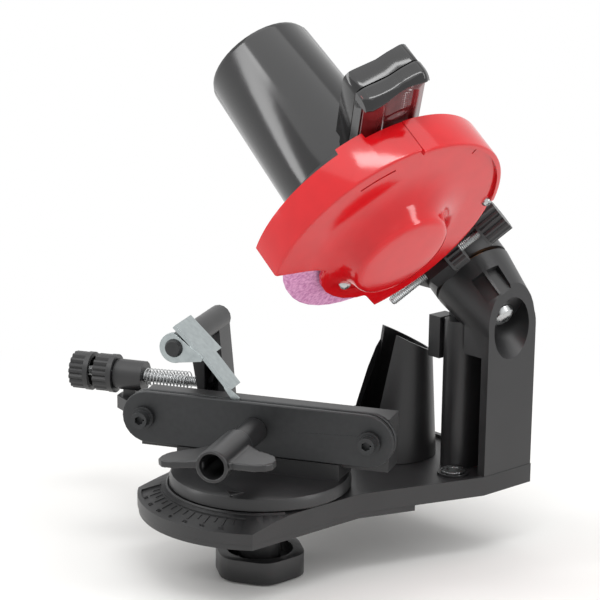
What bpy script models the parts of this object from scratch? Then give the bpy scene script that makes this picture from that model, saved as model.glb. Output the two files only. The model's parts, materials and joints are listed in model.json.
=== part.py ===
"""Electric chainsaw chain sharpener, as an assembly of separate pieces.

Metres, +Z up. The origin lies on the flat underside that rests on the bench, midway between
the two bench bolts. +Y points to the rear, over the bench, and +X to the operator's right.
"""
import math

import bmesh
import bpy
from mathutils import Matrix, Vector

# Clearances, cutter overrun and edges
GAP = 0.0003
RUNNING_GAP = 0.0006
OVERRUN = 0.002
EDGE = 0.0010
MERGE = 0.00001
SOFT_EDGE = 0.0020

# Base plate
BASE_THICK = 0.010
SKIRT_DROP = 0.003
SKIRT_REACH = 0.057
SKIRT_INSET = 0.0006
TABLE_Y = -0.090
NOSE_RADIUS = 0.062
WAIST_HALF = 0.0445
WAIST_REACH = 0.027
REAR_HALF = 0.0664
FLARE_SETBACK = 0.004
REAR_REACH = 0.129
LIP_WIDTH = 0.003
DECK_SINK = 0.002
DECK_SINK_START = 0.029
CONE_INNER_RADIUS = 0.0478
CONE_DROP = 0.0046
BEAD_WIDTH = 0.0016
BEAD_HEIGHT = 0.0010
BEAD_SPREAD = math.radians(64)
WINDOW_SPREAD = math.radians(41)
WINDOW_INNER_RADIUS = 0.0500
WINDOW_OUTER_RADIUS = 0.0600
WINDOW_DEPTH = 0.0009
STUD_BORE_RADIUS = 0.0046
NOSE_POCKET_OUTER_RADIUS = 0.0405
NOSE_POCKET_INNER_RADIUS = 0.0150
NOSE_POCKET_DEPTH = 0.008
BENCH_BOLT_X = 0.0478
BENCH_BORE_RADIUS = 0.0052
BENCH_RING_RADIUS = 0.0082
BENCH_RING_HEIGHT = 0.0012
BENCH_BUSH_RADIUS = 0.0049
BENCH_BUSH_BORE_RADIUS = 0.0033
BENCH_BUSH_FLANGE_RADIUS = 0.0064
BENCH_BUSH_FLANGE = 0.0008
REAR_POCKET_DEPTH = 0.006
REAR_POCKET_WIDTH = 0.024
REAR_POCKET_LENGTH = 0.020

# Head hinge: an axis parallel to the spindle, tipped down to the right
SPINDLE_TILT = math.radians(37.85)
CHAIN_LEVEL = 0.0444
HINGE_REACH = 0.1106
HINGE_RISE = 0.0655
HINGE_FACE = -0.0025
HEAD_ARM_LENGTH = 0.1223
HEAD_REST_ANGLE = math.radians(30.3)

# Column that carries the hinge
COLUMN_LEFT = 0.0295
COLUMN_WALL = 0.0050
COLUMN_INSET = 0.0003
COLUMN_POST_RADIUS = 0.0086
COLUMN_BACK_REACH = 0.118
COLUMN_RECESS_HEIGHT = 0.062
SOCKET_RADIUS = 0.0215
SOCKET_END_RADIUS = 0.0155
SOCKET_LENGTH = 0.046
SOCKET_CUP_DEPTH = 0.0024
SCOOP_RADIUS = 0.0128
SCOOP_START = 0.0252
SOCKET_POCKET_WIDTH = 0.0074
SOCKET_POCKET_LENGTH = 0.0145
SOCKET_POCKET_FLOOR = 0.0165
SOCKET_POCKET_START = 0.0092
SOCKET_POCKET_ANGLES = (math.radians(109), math.radians(135.5))
STOP_TAB_WIDTH = 0.007
STOP_TAB_THICK = 0.004
STOP_TAB_LOW = 0.055
STOP_TAB_HIGH = 0.077
HINGE_BOLT_RADIUS = 0.0040
HINGE_BORE_RADIUS = 0.0043
HINGE_BOLT_HEAD_RADIUS = 0.0068
HINGE_BOLT_HEAD = 0.0042
HINGE_RING_OUTER_RADIUS = 0.0186
HINGE_RING_INNER_RADIUS = 0.0120

# Spark deflector: a tapered gutter standing behind the vise
DEFLECTOR_X = -0.0005
DEFLECTOR_REACH = 0.0916
DEFLECTOR_BASE_RADIUS = 0.0245
DEFLECTOR_TOP_RADIUS = 0.0131
DEFLECTOR_LEAN_X = 0.0047
DEFLECTOR_LEAN_Y = 0.0052
DEFLECTOR_HEIGHT = 0.076
DEFLECTOR_WALL = 0.0022
DEFLECTOR_CUT_HEIGHT = 0.0610
DEFLECTOR_CUT_SLOPE = math.radians(27)
DEFLECTOR_CUT_HEADING = math.radians(66)
DEFLECTOR_MOUTH_WIDTH = 0.025
DEFLECTOR_MOUTH_HEADING = math.radians(257)

# Turntable and the vise that it carries
VISE_ANGLE = math.radians(30)
TABLE_RADIUS = 0.046
TABLE_THICK = 0.0080
TABLE_BEVEL = 0.0030
POINTER_WIDTH = 0.0085
POINTER_LENGTH = 0.0055
POINTER_TIP_RADIUS = 0.0440
POINTER_DEPTH = 0.0006
JAW_LENGTH = 0.143
JAW_HEIGHT = 0.0269
JAW_THICK = 0.0030
JAW_SLOT = 0.0016
JAW_BOTTOM = 0.0175
JAW_FRONT_FACE = 0.0087
PEDESTAL_HALF = 0.0430
PEDESTAL_DEPTH = 0.0165
PEDESTAL_TOP_CLEAR = 0.0012
WALL_RIGHT_MARGIN = 0.0075
WALL_LEFT_MARGIN = 0.0045
WALL_TOP_CLEAR = 0.0034
WALL_BOTTOM_DROP = 0.0038
WALL_RECESS_DEPTH = 0.011
WALL_RECESS_SKIN = 0.0035
JAW_SCREW_INSET = 0.0120
JAW_SCREW_RADIUS = 0.0025
JAW_SCREW_BORE_RADIUS = 0.0028
JAW_SCREW_HEAD_RADIUS = 0.0043
JAW_SCREW_HEAD = 0.0050
JAW_SCREW_SOCKET_RADIUS = 0.0023
JAW_SCREW_SOCKET_DEPTH = 0.0028
JAW_COLLAR_RADIUS = 0.0058
JAW_COLLAR = 0.0012
JAW_SCREW_ENTRY = 0.0100
CLAMP_STUD_RADIUS = 0.0030
CLAMP_BORE_RADIUS = 0.0034
CLAMP_STUD_REACH = 0.0300
JAW_OPENING = 0.0013

# Wing knob that closes the jaws
WING_TUBE_LENGTH = 0.0360
WING_TUBE_RADIUS = 0.0082
WING_NECK_LENGTH = 0.0260
WING_NECK_RADIUS = 0.0066
WING_BORE_RADIUS = 0.0062
WING_BORE_DEPTH = 0.0330
WING_SPAN = 0.0600
WING_THICK = 0.0037
WING_ROOT = 0.0260
WING_TIP_RADIUS = 0.0085
WING_TILT = math.radians(5)
CLAMP_INSERT_RADIUS = 0.0046
CLAMP_INSERT_LENGTH = 0.0160

# Turntable stud and its star knob, under the base
STUD_RADIUS = 0.0040
LOCK_KNOB_RADIUS = 0.0232
LOCK_KNOB_LOBE = 0.0016
LOCK_KNOB_LOBES = 6
LOCK_KNOB_HEIGHT = 0.0115
LOCK_KNOB_DISH_RADIUS = 0.0170
LOCK_KNOB_DISH_DEPTH = 0.0055
LOCK_KNOB_HUB_RADIUS = 0.0105
LOCK_KNOB_TOP = 0.0345
LOCK_INSERT_RADIUS = 0.0060
LOCK_WASHER_RADIUS = 0.0120
LOCK_WASHER = 0.0015

# Chain stop, its carrier and the adjuster
ADJUST_Y = 0.0520
ADJUST_RISE = 0.0330
ROD_RADIUS = 0.0028
ROD_BORE_RADIUS = 0.0032
CARRIER_X = -0.0445
CARRIER_WIDTH = 0.0160
CARRIER_NEAR = 0.0440
CARRIER_FAR = 0.0600
CARRIER_FOOT = 0.0240
CARRIER_WALL = 0.0026
CARRIER_LEAN = 0.0060
PIVOT_RISE = 0.0678
BARREL_RADIUS = 0.0065
BARREL_NEAR = -0.0035
PIVOT_PIN_RADIUS = 0.0026
PIVOT_BORE_RADIUS = 0.0029
PIVOT_HEAD_RADIUS = 0.0048
PIVOT_HEAD = 0.0020
BOSS_FAR_X = -0.0995
BOSS_NEAR_X = -0.0835
BOSS_RADIUS = 0.0082
BRACKET_THICK = 0.0070
BRACKET_HEIGHT = 0.0180
KNOB_RADIUS = 0.0100
KNOB_FLANGE_RADIUS = 0.0104
KNOB_FLANGE = 0.0028
KNOB_LENGTH = 0.0108
KNOB_FLUTES = 18
KNOB_FLUTE_POINTS = 3
KNOB_FLUTE_DEPTH = 0.0009
KNOB_HOLLOW_RADIUS = 0.0080
KNOB_HOLLOW_DEPTH = 0.0045
LOCK_RING_LENGTH = 0.0108
KNOB_SPACE = 0.0027
SPRING_RADIUS = 0.0044
SPRING_END_RADIUS = 0.0050
SPRING_WIRE_RADIUS = 0.00035
SPRING_CURLS = 13
SPRING_POINTS_PER_CURL = 9
SPRING_SHARE = 0.74
STOP_SHEET = 0.0020
STOP_EAR_RADIUS = 0.0078
STOP_SLOPE_RUN = 0.0173
STOP_SLOPE_DROP = 0.0040
STOP_CREST_SHIFT = 0.0005
STOP_TIP_X = -0.0112
STOP_TIP_SINK = 0.0012
STOP_TONGUE_RUN = 0.0030
STOP_TONGUE_RISE = 0.0045
STOP_FACE_WIDTH = 0.0225
STOP_TONGUE_WIDTH = 0.0150
STOP_TIP_WIDTH = 0.0060
STOP_TIP_THICK = 0.0012

# Spindle, wheel and motor
WHEEL_RADIUS = 0.0525
WHEEL_THICK = 0.0045
WHEEL_BORE_RADIUS = 0.0111
ARBOR_RADIUS = 0.0040
ARBOR_REACH = 0.0125
FLANGE_RADIUS = 0.0180
FLANGE_THICK = 0.0028
FLANGE_SPIGOT_CLEAR = 0.0004
NUT_RADIUS = 0.0072
NUT_THICK = 0.0045
MOTOR_FRONT_RADIUS = 0.0302
MOTOR_END_RADIUS = 0.0273
MOTOR_FRONT = -0.0282
MOTOR_END = -0.1110
MOTOR_WALL = 0.0022
MOTOR_CORNER = 0.0035
STATOR_FAR = -0.0880
STATOR_NEAR = -0.0500
STATOR_BORE_RADIUS = 0.0165
ROTOR_RADIUS = 0.0158
COMMUTATOR_RADIUS = 0.0090
COMMUTATOR_LENGTH = 0.0100
BEARING_RADIUS = 0.0110
BEARING_THICK = 0.0070
BEARING_CUP_WALL = 0.0020

# Head arm, return spring and bush
ARM_NEAR = -0.0128
ARM_FAR = -0.0278
ARM_MOTOR_RADIUS = 0.0345
BARREL_FACE_CLEAR = 0.0020
BUSH_RADIUS = 0.0065
BUSH_BORE_RADIUS = 0.0042
SPRING_CUP_RADIUS = 0.0160
SPRING_CUP_DEPTH = 0.0140
RETURN_SPRING_RADIUS = 0.0120
RETURN_SPRING_WIRE_RADIUS = 0.0011
RETURN_SPRING_CURLS = 4
RETURN_SPRING_POINTS_PER_CURL = 10
HINGE_NUT_RADIUS = 0.0066
HINGE_NUT = 0.0050

# Wheel guard and its front cover
GUARD_RADIUS = 0.0620
GUARD_WALL = 0.0022
GUARD_BACK = -0.0121
GUARD_FRONT = 0.0052
COVER_THICK = 0.0020
GUARD_OPEN_FROM = math.radians(-65)
GUARD_OPEN_TO = math.radians(-166)
LOBE_START_RADIUS = 0.0480
LOBE_END_RADIUS = 0.0350
GUARD_LIP_FROM = math.radians(14)
GUARD_LIP_TO = math.radians(67)
COVER_INSET_RADIUS = 0.0535
HUB_DOME_RADIUS = 0.0400
HUB_RADIUS = 0.0238
HUB_FACE = 0.0192
HUB_CAVITY_RADIUS = 0.0200
HUB_CAVITY_DEPTH = 0.0120
ARM_PASSAGE_RADIUS = 0.0200

# Handle with the switch
HANDLE_ANGLE = math.radians(25)
HANDLE_SHIFT = 0.0096
HANDLE_WIDTH = 0.0330
HANDLE_TOP = 0.0850
HANDLE_LOW = 0.0390
HANDLE_FACE = -0.0146
HANDLE_SPLIT = -0.0245
HANDLE_BACK = -0.0346
HANDLE_CORNER = 0.0045
HANDLE_WAIST = 0.0030
NECK_MARGIN = 0.0020
NECK_REACH = 0.0052
NECK_START = 0.0200
ROCKER_WIDTH = 0.0318
ROCKER_TOP = 0.0780
ROCKER_LOW = 0.0440
ROCKER_FACE = -0.0152
ROCKER_DEPTH = 0.0045
ROCKER_PLAY = 0.0010
ROCKER_BEVEL = 0.0015
ROCKER_FLOOR = 0.0020
ROCKER_PIVOT_RISE = 0.0019

# Depth screw
DEPTH_ROD_LEVEL = -0.0020
DEPTH_ROD_X = 0.0501
DEPTH_ROD_Y = -0.0676
DEPTH_ROD_HEADING = math.radians(55.3)
DEPTH_ROD_RADIUS = 0.0025
DEPTH_ROD_BORE_RADIUS = 0.0028
DEPTH_ROD_LENGTH = 0.0660
DEPTH_LUG_START = 0.0225
DEPTH_LUG_LENGTH = 0.0120
DEPTH_LUG_WIDTH = 0.0140
DEPTH_LUG_NEAR = 0.0050
DEPTH_LOCK_LENGTH = 0.0090
DEPTH_LOCK_RADIUS = 0.0085
DEPTH_KNOB_START = 0.0560
DEPTH_KNOB_LENGTH = 0.0140
DEPTH_KNOB_RADIUS = 0.0090

# Facets
ROUND_STEPS = 30
SMALL_STEPS = 16
FINE_STEPS = 42
BEVEL_STEPS = 2
LOBE_STEPS = 8

# Colours, linear RGB, with roughness and metallic value
BLACK_SATIN = ((0.028, 0.028, 0.029), 0.38, 0.0)
BLACK_GLOSS = ((0.016, 0.016, 0.017), 0.12, 0.0)
RED_GLOSS = ((0.62, 0.012, 0.014), 0.16, 0.0)
STEEL_DARK = ((0.060, 0.060, 0.062), 0.42, 0.6)
STEEL_BRIGHT = ((0.56, 0.57, 0.56), 0.28, 1.0)
ZINC = ((0.50, 0.55, 0.55), 0.35, 1.0)
BRONZE = ((0.42, 0.20, 0.085), 0.35, 1.0)
CORUNDUM = ((0.56, 0.22, 0.42), 0.90, 0.0)
DARK_RED = ((0.085, 0.010, 0.012), 0.30, 0.0)
COPPER_WINDING = ((0.40, 0.14, 0.06), 0.45, 1.0)

for leftover in list(bpy.data.objects):
    bpy.data.objects.remove(leftover, do_unlink=True)

parts = bpy.data.collections.new("chain_sharpener")
cutters = bpy.data.collections.new("cutters")
bpy.context.scene.collection.children.link(parts)
bpy.context.scene.collection.children.link(cutters)
finishes = {}


def finish(name, look):
    """The Principled material of this name, made once."""
    if name in finishes:
        return finishes[name]
    colour, roughness, metallic = look
    material = bpy.data.materials.new(name)
    material.use_nodes = True
    shader = material.node_tree.nodes["Principled BSDF"]
    shader.inputs["Base Color"].default_value = (*colour, 1.0)
    shader.inputs["Roughness"].default_value = roughness
    shader.inputs["Metallic"].default_value = metallic
    material.diffuse_color = (*colour, 1.0)
    finishes[name] = material
    return material


def frame(name, location, turn, parent=None):
    """An empty that carries a group of pieces."""
    empty = bpy.data.objects.new(name, None)
    empty.matrix_local = Matrix.Translation(location) @ turn
    if parent:
        empty.parent = parent
    parts.objects.link(empty)
    empty.hide_render = True
    empty.empty_display_type = "ARROWS"
    return empty


def add(name, bm, carrier, look=None, smooth=math.radians(35)):
    """An object from a bmesh: a piece with a finish, or a cutter without one."""
    bmesh.ops.recalc_face_normals(bm, faces=bm.faces)
    mesh = bpy.data.meshes.new(name)
    bm.to_mesh(mesh)
    bm.free()
    obj = bpy.data.objects.new(name, mesh)
    obj.parent = carrier
    if look is None:
        cutters.objects.link(obj)
        obj.hide_render = True
        obj.display_type = "WIRE"
    else:
        parts.objects.link(obj)
        mesh.materials.append(finish(name, look))
        mesh.shade_smooth()
        mesh.set_sharp_from_angle(angle=smooth)
    return obj


def block(low, high):
    """A box between two corners."""
    low = Vector(low)
    high = Vector(high)
    bm = bmesh.new()
    bmesh.ops.create_cube(bm, size=1.0)
    size = high - low
    bmesh.ops.scale(bm, vec=size, verts=bm.verts)
    bmesh.ops.translate(bm, vec=(low + high) / 2, verts=bm.verts)
    return bm


def cone(start, end, start_radius, end_radius, steps=ROUND_STEPS):
    """A round bar or cone between two points."""
    start = Vector(start)
    end = Vector(end)
    bm = bmesh.new()
    length = (end - start).length
    bmesh.ops.create_cone(bm, cap_ends=True, segments=steps, radius1=start_radius,
                          radius2=end_radius, depth=length)
    turn = (end - start).to_track_quat("Z", "Y").to_matrix()
    bmesh.ops.rotate(bm, matrix=turn, verts=bm.verts)
    bmesh.ops.translate(bm, vec=(start + end) / 2, verts=bm.verts)
    return bm


def bar(start, end, radius, steps=ROUND_STEPS):
    return cone(start, end, radius, radius, steps)


def merged(*shapes):
    """Several bmeshes in one, for a cutter whose shapes stay apart."""
    bm = bmesh.new()
    for shape in shapes:
        mesh = bpy.data.meshes.new("merge")
        shape.to_mesh(mesh)
        shape.free()
        bm.from_mesh(mesh)
        bpy.data.meshes.remove(mesh)
    return bm


def spun(profile, start=0.0, sweep=math.tau, steps=ROUND_STEPS):
    """A face in the XZ plane spun about Z: a full ring or a sector with flat ends."""
    bm = bmesh.new()
    verts = [bm.verts.new((math.cos(start) * r, math.sin(start) * r, z)) for r, z in profile]
    if sweep >= math.tau:
        edges = [bm.edges.new((verts[i], verts[(i + 1) % len(verts)])) for i in range(len(verts))]
        bmesh.ops.spin(bm, geom=verts + edges, axis=(0, 0, 1), cent=(0, 0, 0), steps=steps,
                       angle=sweep, use_merge=True)
        bmesh.ops.remove_doubles(bm, verts=bm.verts, dist=MERGE)
    else:
        face = bm.faces.new(verts)
        bmesh.ops.spin(bm, geom=[face], axis=(0, 0, 1), cent=(0, 0, 0), steps=steps, angle=sweep)
        bmesh.ops.remove_doubles(bm, verts=bm.verts, dist=MERGE)
    return bm


def turned(name, profile, carrier, look=None, steps=ROUND_STEPS):
    """A solid of revolution about the carrier's Z: an open profile that starts and ends on the axis."""
    mesh = bpy.data.meshes.new(name)
    points = [(r, 0, z) for r, z in profile]
    mesh.from_pydata(points, [(i, i + 1) for i in range(len(points) - 1)], [])
    obj = bpy.data.objects.new(name, mesh)
    obj.parent = carrier
    (parts if look else cutters).objects.link(obj)
    screw = obj.modifiers.new("turn", "SCREW")
    screw.steps = steps
    screw.render_steps = steps
    screw.use_merge_vertices = True
    screw.merge_threshold = MERGE
    screw.use_smooth_shade = True
    bpy.context.view_layer.update()
    graph = bpy.context.evaluated_depsgraph_get()
    bm = bmesh.new()
    bm.from_mesh(obj.evaluated_get(graph).to_mesh())
    bpy.data.objects.remove(obj, do_unlink=True)
    bmesh.ops.remove_doubles(bm, verts=bm.verts, dist=MERGE)
    return add(name, bm, carrier, look)


def slab(points, low, high):
    """A flat outline with a thickness along Z, from a filled 2D curve."""
    curve = bpy.data.curves.new("outline", "CURVE")
    curve.dimensions = "2D"
    curve.fill_mode = "BOTH"
    curve.extrude = (high - low) / 2
    spline = curve.splines.new("POLY")
    spline.points.add(len(points) - 1)
    for point, (x, y) in zip(spline.points, points):
        point.co = (x, y, 0, 1)
    spline.use_cyclic_u = True
    obj = bpy.data.objects.new("outline", curve)
    parts.objects.link(obj)
    bpy.context.view_layer.update()
    graph = bpy.context.evaluated_depsgraph_get()
    mesh = bpy.data.meshes.new_from_object(obj.evaluated_get(graph))
    bm = bmesh.new()
    bm.from_mesh(mesh)
    bpy.data.objects.remove(obj, do_unlink=True)
    bpy.data.meshes.remove(mesh)
    bmesh.ops.remove_doubles(bm, verts=bm.verts, dist=MERGE)
    bmesh.ops.translate(bm, vec=(0, 0, (low + high) / 2), verts=bm.verts)
    return bm


def moved(bm, matrix):
    """The same bmesh after a rigid move."""
    bmesh.ops.transform(bm, matrix=matrix, verts=bm.verts)
    return bm


def arc(centre, radius, start, end, steps):
    """Points on an arc, both ends included."""
    cx, cy = centre
    points = []
    for i in range(steps + 1):
        angle = start + (end - start) * i / steps
        points.append((cx + radius * math.cos(angle), cy + radius * math.sin(angle)))
    return points


def boolean(obj, other, operation):
    modifier = obj.modifiers.new(operation.lower(), "BOOLEAN")
    modifier.object = other
    modifier.operation = operation
    modifier.solver = "EXACT"
    return obj


def cut(obj, bm):
    """Takes a shape out of a piece."""
    cutter = add(obj.name + "_cutter", bm, obj.parent)
    return boolean(obj, cutter, "DIFFERENCE")


def fuse(obj, bm):
    """Adds a shape to a piece, as one body."""
    cutter = add(obj.name + "_addition", bm, obj.parent)
    return boolean(obj, cutter, "UNION")


def keep(obj, bm):
    cutter = add(obj.name + "_limit", bm, obj.parent)
    return boolean(obj, cutter, "INTERSECT")


def soften(obj, width, steps=BEVEL_STEPS, angle=math.radians(40)):
    """Rounded edges."""
    bevel = obj.modifiers.new("edges", "BEVEL")
    bevel.width = width
    bevel.segments = steps
    bevel.limit_method = "ANGLE"
    bevel.angle_limit = angle
    bevel.use_clamp_overlap = True
    return obj


def helix_tube(name, carrier, look, route, wire, resolution=1):
    """One unbroken wire along the points of a route."""
    curve = bpy.data.curves.new(name, "CURVE")
    curve.dimensions = "3D"
    curve.bevel_depth = wire
    curve.bevel_resolution = resolution
    curve.use_fill_caps = True
    spline = curve.splines.new("POLY")
    spline.points.add(len(route) - 1)
    for point, place in zip(spline.points, route):
        point.co = (*place, 1)
    obj = bpy.data.objects.new(name, curve)
    obj.parent = carrier
    parts.objects.link(obj)
    bpy.context.view_layer.update()
    graph = bpy.context.evaluated_depsgraph_get()
    mesh = bpy.data.meshes.new_from_object(obj.evaluated_get(graph))
    bm = bmesh.new()
    bm.from_mesh(mesh)
    bpy.data.objects.remove(obj, do_unlink=True)
    bpy.data.meshes.remove(mesh)
    bmesh.ops.remove_doubles(bm, verts=bm.verts, dist=MERGE)
    return add(name, bm, carrier, look)


def least_gap(route, wire, points_per_curl):
    """The least clear space between one curl of a wire and the next."""
    least = None
    for i, place in enumerate(route):
        for other in route[i + points_per_curl - 2:i + points_per_curl + 3]:
            if i + points_per_curl - 2 < len(route):
                space = (Vector(place) - Vector(other)).length - 2 * wire
                least = space if least is None else min(least, space)
    return least


def socket_head(name, carrier, look, start, heading, shank_radius, shank_length, head_radius,
                head_height, socket_radius, socket_depth):
    """A cap screw: the shank runs from start along heading, the head against it."""
    heading = Vector(heading).normalized()
    start = Vector(start)
    screw = add(name, bar(start, start + heading * shank_length, shank_radius, SMALL_STEPS),
                carrier, look)
    top = start - heading * head_height
    fuse(screw, bar(top, start + heading * EDGE, head_radius, SMALL_STEPS))
    cut(screw, bar(top - heading * OVERRUN, top + heading * socket_depth, socket_radius, 6))
    return screw


def nut(name, carrier, look, start, radius, bore, thickness):
    """A hexagon nut along Z with a round bore."""
    x, y, z = start
    corners = arc((x, y), radius, 0, math.tau * 5 / 6, 5)
    piece = add(name, slab(corners, z, z + thickness), carrier, look)
    cut(piece, bar((x, y, z - OVERRUN), (x, y, z + thickness + OVERRUN), bore, SMALL_STEPS))
    return piece


def ring(start, heading, outer, inner, thickness, steps=ROUND_STEPS):
    """A flat ring or a sleeve along a heading."""
    heading = Vector(heading).normalized()
    bm = spun([(inner, 0), (outer, 0), (outer, thickness), (inner, thickness)], steps=steps)
    turn = heading.to_track_quat("Z", "Y").to_matrix().to_4x4()
    return moved(bm, Matrix.Translation(start) @ turn)


def fluted_outline(radius, flutes, flute_depth):
    """A round outline with small grooves, for a knurled knob."""
    points = []
    steps = flutes * KNOB_FLUTE_POINTS
    for i in range(steps):
        angle = math.tau * i / steps
        reach = radius - (flute_depth if i % KNOB_FLUTE_POINTS == 0 else 0)
        points.append((reach * math.cos(angle), reach * math.sin(angle)))
    return points


def knurled_knob(name, carrier, look, start, heading, radius, length, bore, flange_radius,
                 flange, flange_last, hollow=None):
    """A fluted knob with a plain flange at one end, a round bore and a hollow behind the flange."""
    heading = Vector(heading).normalized()
    turn = heading.to_track_quat("Z", "Y").to_matrix().to_4x4()
    place = Matrix.Translation(start) @ turn
    knob = add(name, moved(slab(fluted_outline(radius, KNOB_FLUTES, KNOB_FLUTE_DEPTH), 0,
                                length), place), carrier, look)
    first = length - flange if flange_last else 0
    fuse(knob, moved(bar((0, 0, first), (0, 0, first + flange), flange_radius), place))
    if hollow:
        inner = length - hollow if flange_last else hollow
        past = length + OVERRUN if flange_last else -OVERRUN
        cut(knob, moved(bar((0, 0, inner), (0, 0, past), KNOB_HOLLOW_RADIUS, SMALL_STEPS), place))
    if bore:
        cut(knob, moved(bar((0, 0, -OVERRUN), (0, 0, length + OVERRUN), bore, SMALL_STEPS), place))
    return knob


# Frames: the base, the vise on its turntable, the head on its hinge, the spindle
base_frame = frame("base_frame", (0, TABLE_Y, BASE_THICK), Matrix.Identity(4))
vise_frame = frame("vise_frame", (0, TABLE_Y, BASE_THICK), Matrix.Rotation(VISE_ANGLE, 4, "Z"))
axis_down_right = Vector((math.cos(SPINDLE_TILT), 0, -math.sin(SPINDLE_TILT)))
axis_up_right = Vector((math.sin(SPINDLE_TILT), 0, math.cos(SPINDLE_TILT)))
head_turn = Matrix((
    (0, axis_up_right.x, axis_down_right.x, 0),
    (1, axis_up_right.y, axis_down_right.y, 0),
    (0, axis_up_right.z, axis_down_right.z, 0),
    (0, 0, 0, 1)))
hinge_in_base = (Vector((0, HINGE_REACH, CHAIN_LEVEL)) + axis_up_right * HINGE_RISE
                 + axis_down_right * HINGE_FACE)
hinge_in_world = hinge_in_base + Vector((0, TABLE_Y, BASE_THICK))
head_frame = frame("head_frame", hinge_in_world, head_turn)
spindle_x = -HEAD_ARM_LENGTH * math.cos(HEAD_REST_ANGLE)
spindle_y = HEAD_ARM_LENGTH * math.sin(HEAD_REST_ANGLE)
spindle_frame = frame("spindle_frame", (spindle_x, spindle_y, -HINGE_FACE), Matrix.Identity(4),
                      head_frame)

# Base plate with its nose, skirt, sunk deck and scale window
flare_reach = -TABLE_Y + FLARE_SETBACK
nose_start = -math.acos(WAIST_HALF / NOSE_RADIUS)
nose = arc((0, 0), NOSE_RADIUS, math.pi - nose_start, math.tau + nose_start, 32)
right_side = [(WAIST_HALF, WAIST_REACH), (REAR_HALF, flare_reach), (REAR_HALF, REAR_REACH)]
left_side = [(-x, y) for x, y in reversed(right_side)]
base_outline = nose + right_side + left_side
base = add("base_housing", slab(base_outline, -BASE_THICK, 0), base_frame, BLACK_SATIN)
soften(base, EDGE, 1, math.radians(60))
skirt_share = (SKIRT_REACH - WAIST_REACH) / (flare_reach - WAIST_REACH)
skirt_half = WAIST_HALF + (REAR_HALF - WAIST_HALF) * skirt_share - SKIRT_INSET
skirt_outline = arc((0, 0), NOSE_RADIUS - SKIRT_INSET, math.pi - nose_start, math.tau + nose_start, 32)
skirt_outline += [(WAIST_HALF - SKIRT_INSET, WAIST_REACH), (skirt_half, SKIRT_REACH),
                  (-skirt_half, SKIRT_REACH), (-WAIST_HALF + SKIRT_INSET, WAIST_REACH)]
fuse(base, slab(skirt_outline, -BASE_THICK - SKIRT_DROP, -BASE_THICK + OVERRUN))
cone_profile = [
    (CONE_INNER_RADIUS, 0), (NOSE_RADIUS, -CONE_DROP), (NOSE_RADIUS + OVERRUN, -CONE_DROP),
    (NOSE_RADIUS + OVERRUN, OVERRUN), (CONE_INNER_RADIUS, OVERRUN)]
cut(base, spun(cone_profile, math.pi, math.pi, 32))
bead_profile = [
    (CONE_INNER_RADIUS - BEAD_WIDTH, -BEAD_HEIGHT), (CONE_INNER_RADIUS, -BEAD_HEIGHT),
    (CONE_INNER_RADIUS, BEAD_HEIGHT * 0.5), (CONE_INNER_RADIUS - BEAD_WIDTH * 0.5, BEAD_HEIGHT),
    (CONE_INNER_RADIUS - BEAD_WIDTH, BEAD_HEIGHT * 0.5)]
fuse(base, spun(bead_profile, -math.pi / 2 - BEAD_SPREAD, 2 * BEAD_SPREAD, 28))


def cone_height(radius):
    """Height of the sloping scale face at a distance from the turntable's axis."""
    return -CONE_DROP * (radius - CONE_INNER_RADIUS) / (NOSE_RADIUS - CONE_INNER_RADIUS)


window_profile = [
    (WINDOW_INNER_RADIUS, cone_height(WINDOW_INNER_RADIUS) - WINDOW_DEPTH),
    (WINDOW_OUTER_RADIUS, cone_height(WINDOW_OUTER_RADIUS) - WINDOW_DEPTH),
    (WINDOW_OUTER_RADIUS, OVERRUN), (WINDOW_INNER_RADIUS, OVERRUN)]
cut(base, spun(window_profile, -math.pi / 2 - WINDOW_SPREAD, 2 * WINDOW_SPREAD, 20))
deck_right = [
    (WAIST_HALF - LIP_WIDTH, DECK_SINK_START), (REAR_HALF - LIP_WIDTH, flare_reach),
    (REAR_HALF - LIP_WIDTH, REAR_REACH - LIP_WIDTH)]
deck_outline = arc((0, 0), CONE_INNER_RADIUS, math.radians(125), math.radians(55), 16)
deck_outline = deck_outline + deck_right + [(-x, y) for x, y in reversed(deck_right)]
cut(base, slab(deck_outline, -DECK_SINK, OVERRUN))

# Hollows of the underside, the stud's bore and the bench bolts' bores
nose_pocket = [
    (NOSE_POCKET_INNER_RADIUS, -BASE_THICK - SKIRT_DROP - OVERRUN),
    (NOSE_POCKET_OUTER_RADIUS, -BASE_THICK - SKIRT_DROP - OVERRUN),
    (NOSE_POCKET_OUTER_RADIUS, -BASE_THICK - SKIRT_DROP + NOSE_POCKET_DEPTH),
    (NOSE_POCKET_INNER_RADIUS, -BASE_THICK - SKIRT_DROP + NOSE_POCKET_DEPTH)]
cut(base, spun(nose_pocket))
stud_low = (0, 0, -BASE_THICK - SKIRT_DROP - OVERRUN)
bores = [bar(stud_low, (0, 0, OVERRUN), STUD_BORE_RADIUS, SMALL_STEPS)]
bench_y = -TABLE_Y
for side in (-1, 1):
    x = side * BENCH_BOLT_X
    fuse(base, bar((x, bench_y, -DECK_SINK - EDGE), (x, bench_y, -DECK_SINK + BENCH_RING_HEIGHT),
                   BENCH_RING_RADIUS, SMALL_STEPS))
    bores.append(bar((x, bench_y, -BASE_THICK - OVERRUN), (x, bench_y, OVERRUN),
                     BENCH_BORE_RADIUS, SMALL_STEPS))
    pocket_centre = side * BENCH_BOLT_X / 2
    pocket_low = (pocket_centre - REAR_POCKET_WIDTH / 4, bench_y + LIP_WIDTH, -BASE_THICK - OVERRUN)
    pocket_high = (pocket_centre + REAR_POCKET_WIDTH / 4, bench_y + LIP_WIDTH + REAR_POCKET_LENGTH,
                   -BASE_THICK + REAR_POCKET_DEPTH)
    bores.append(block(pocket_low, pocket_high))

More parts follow.
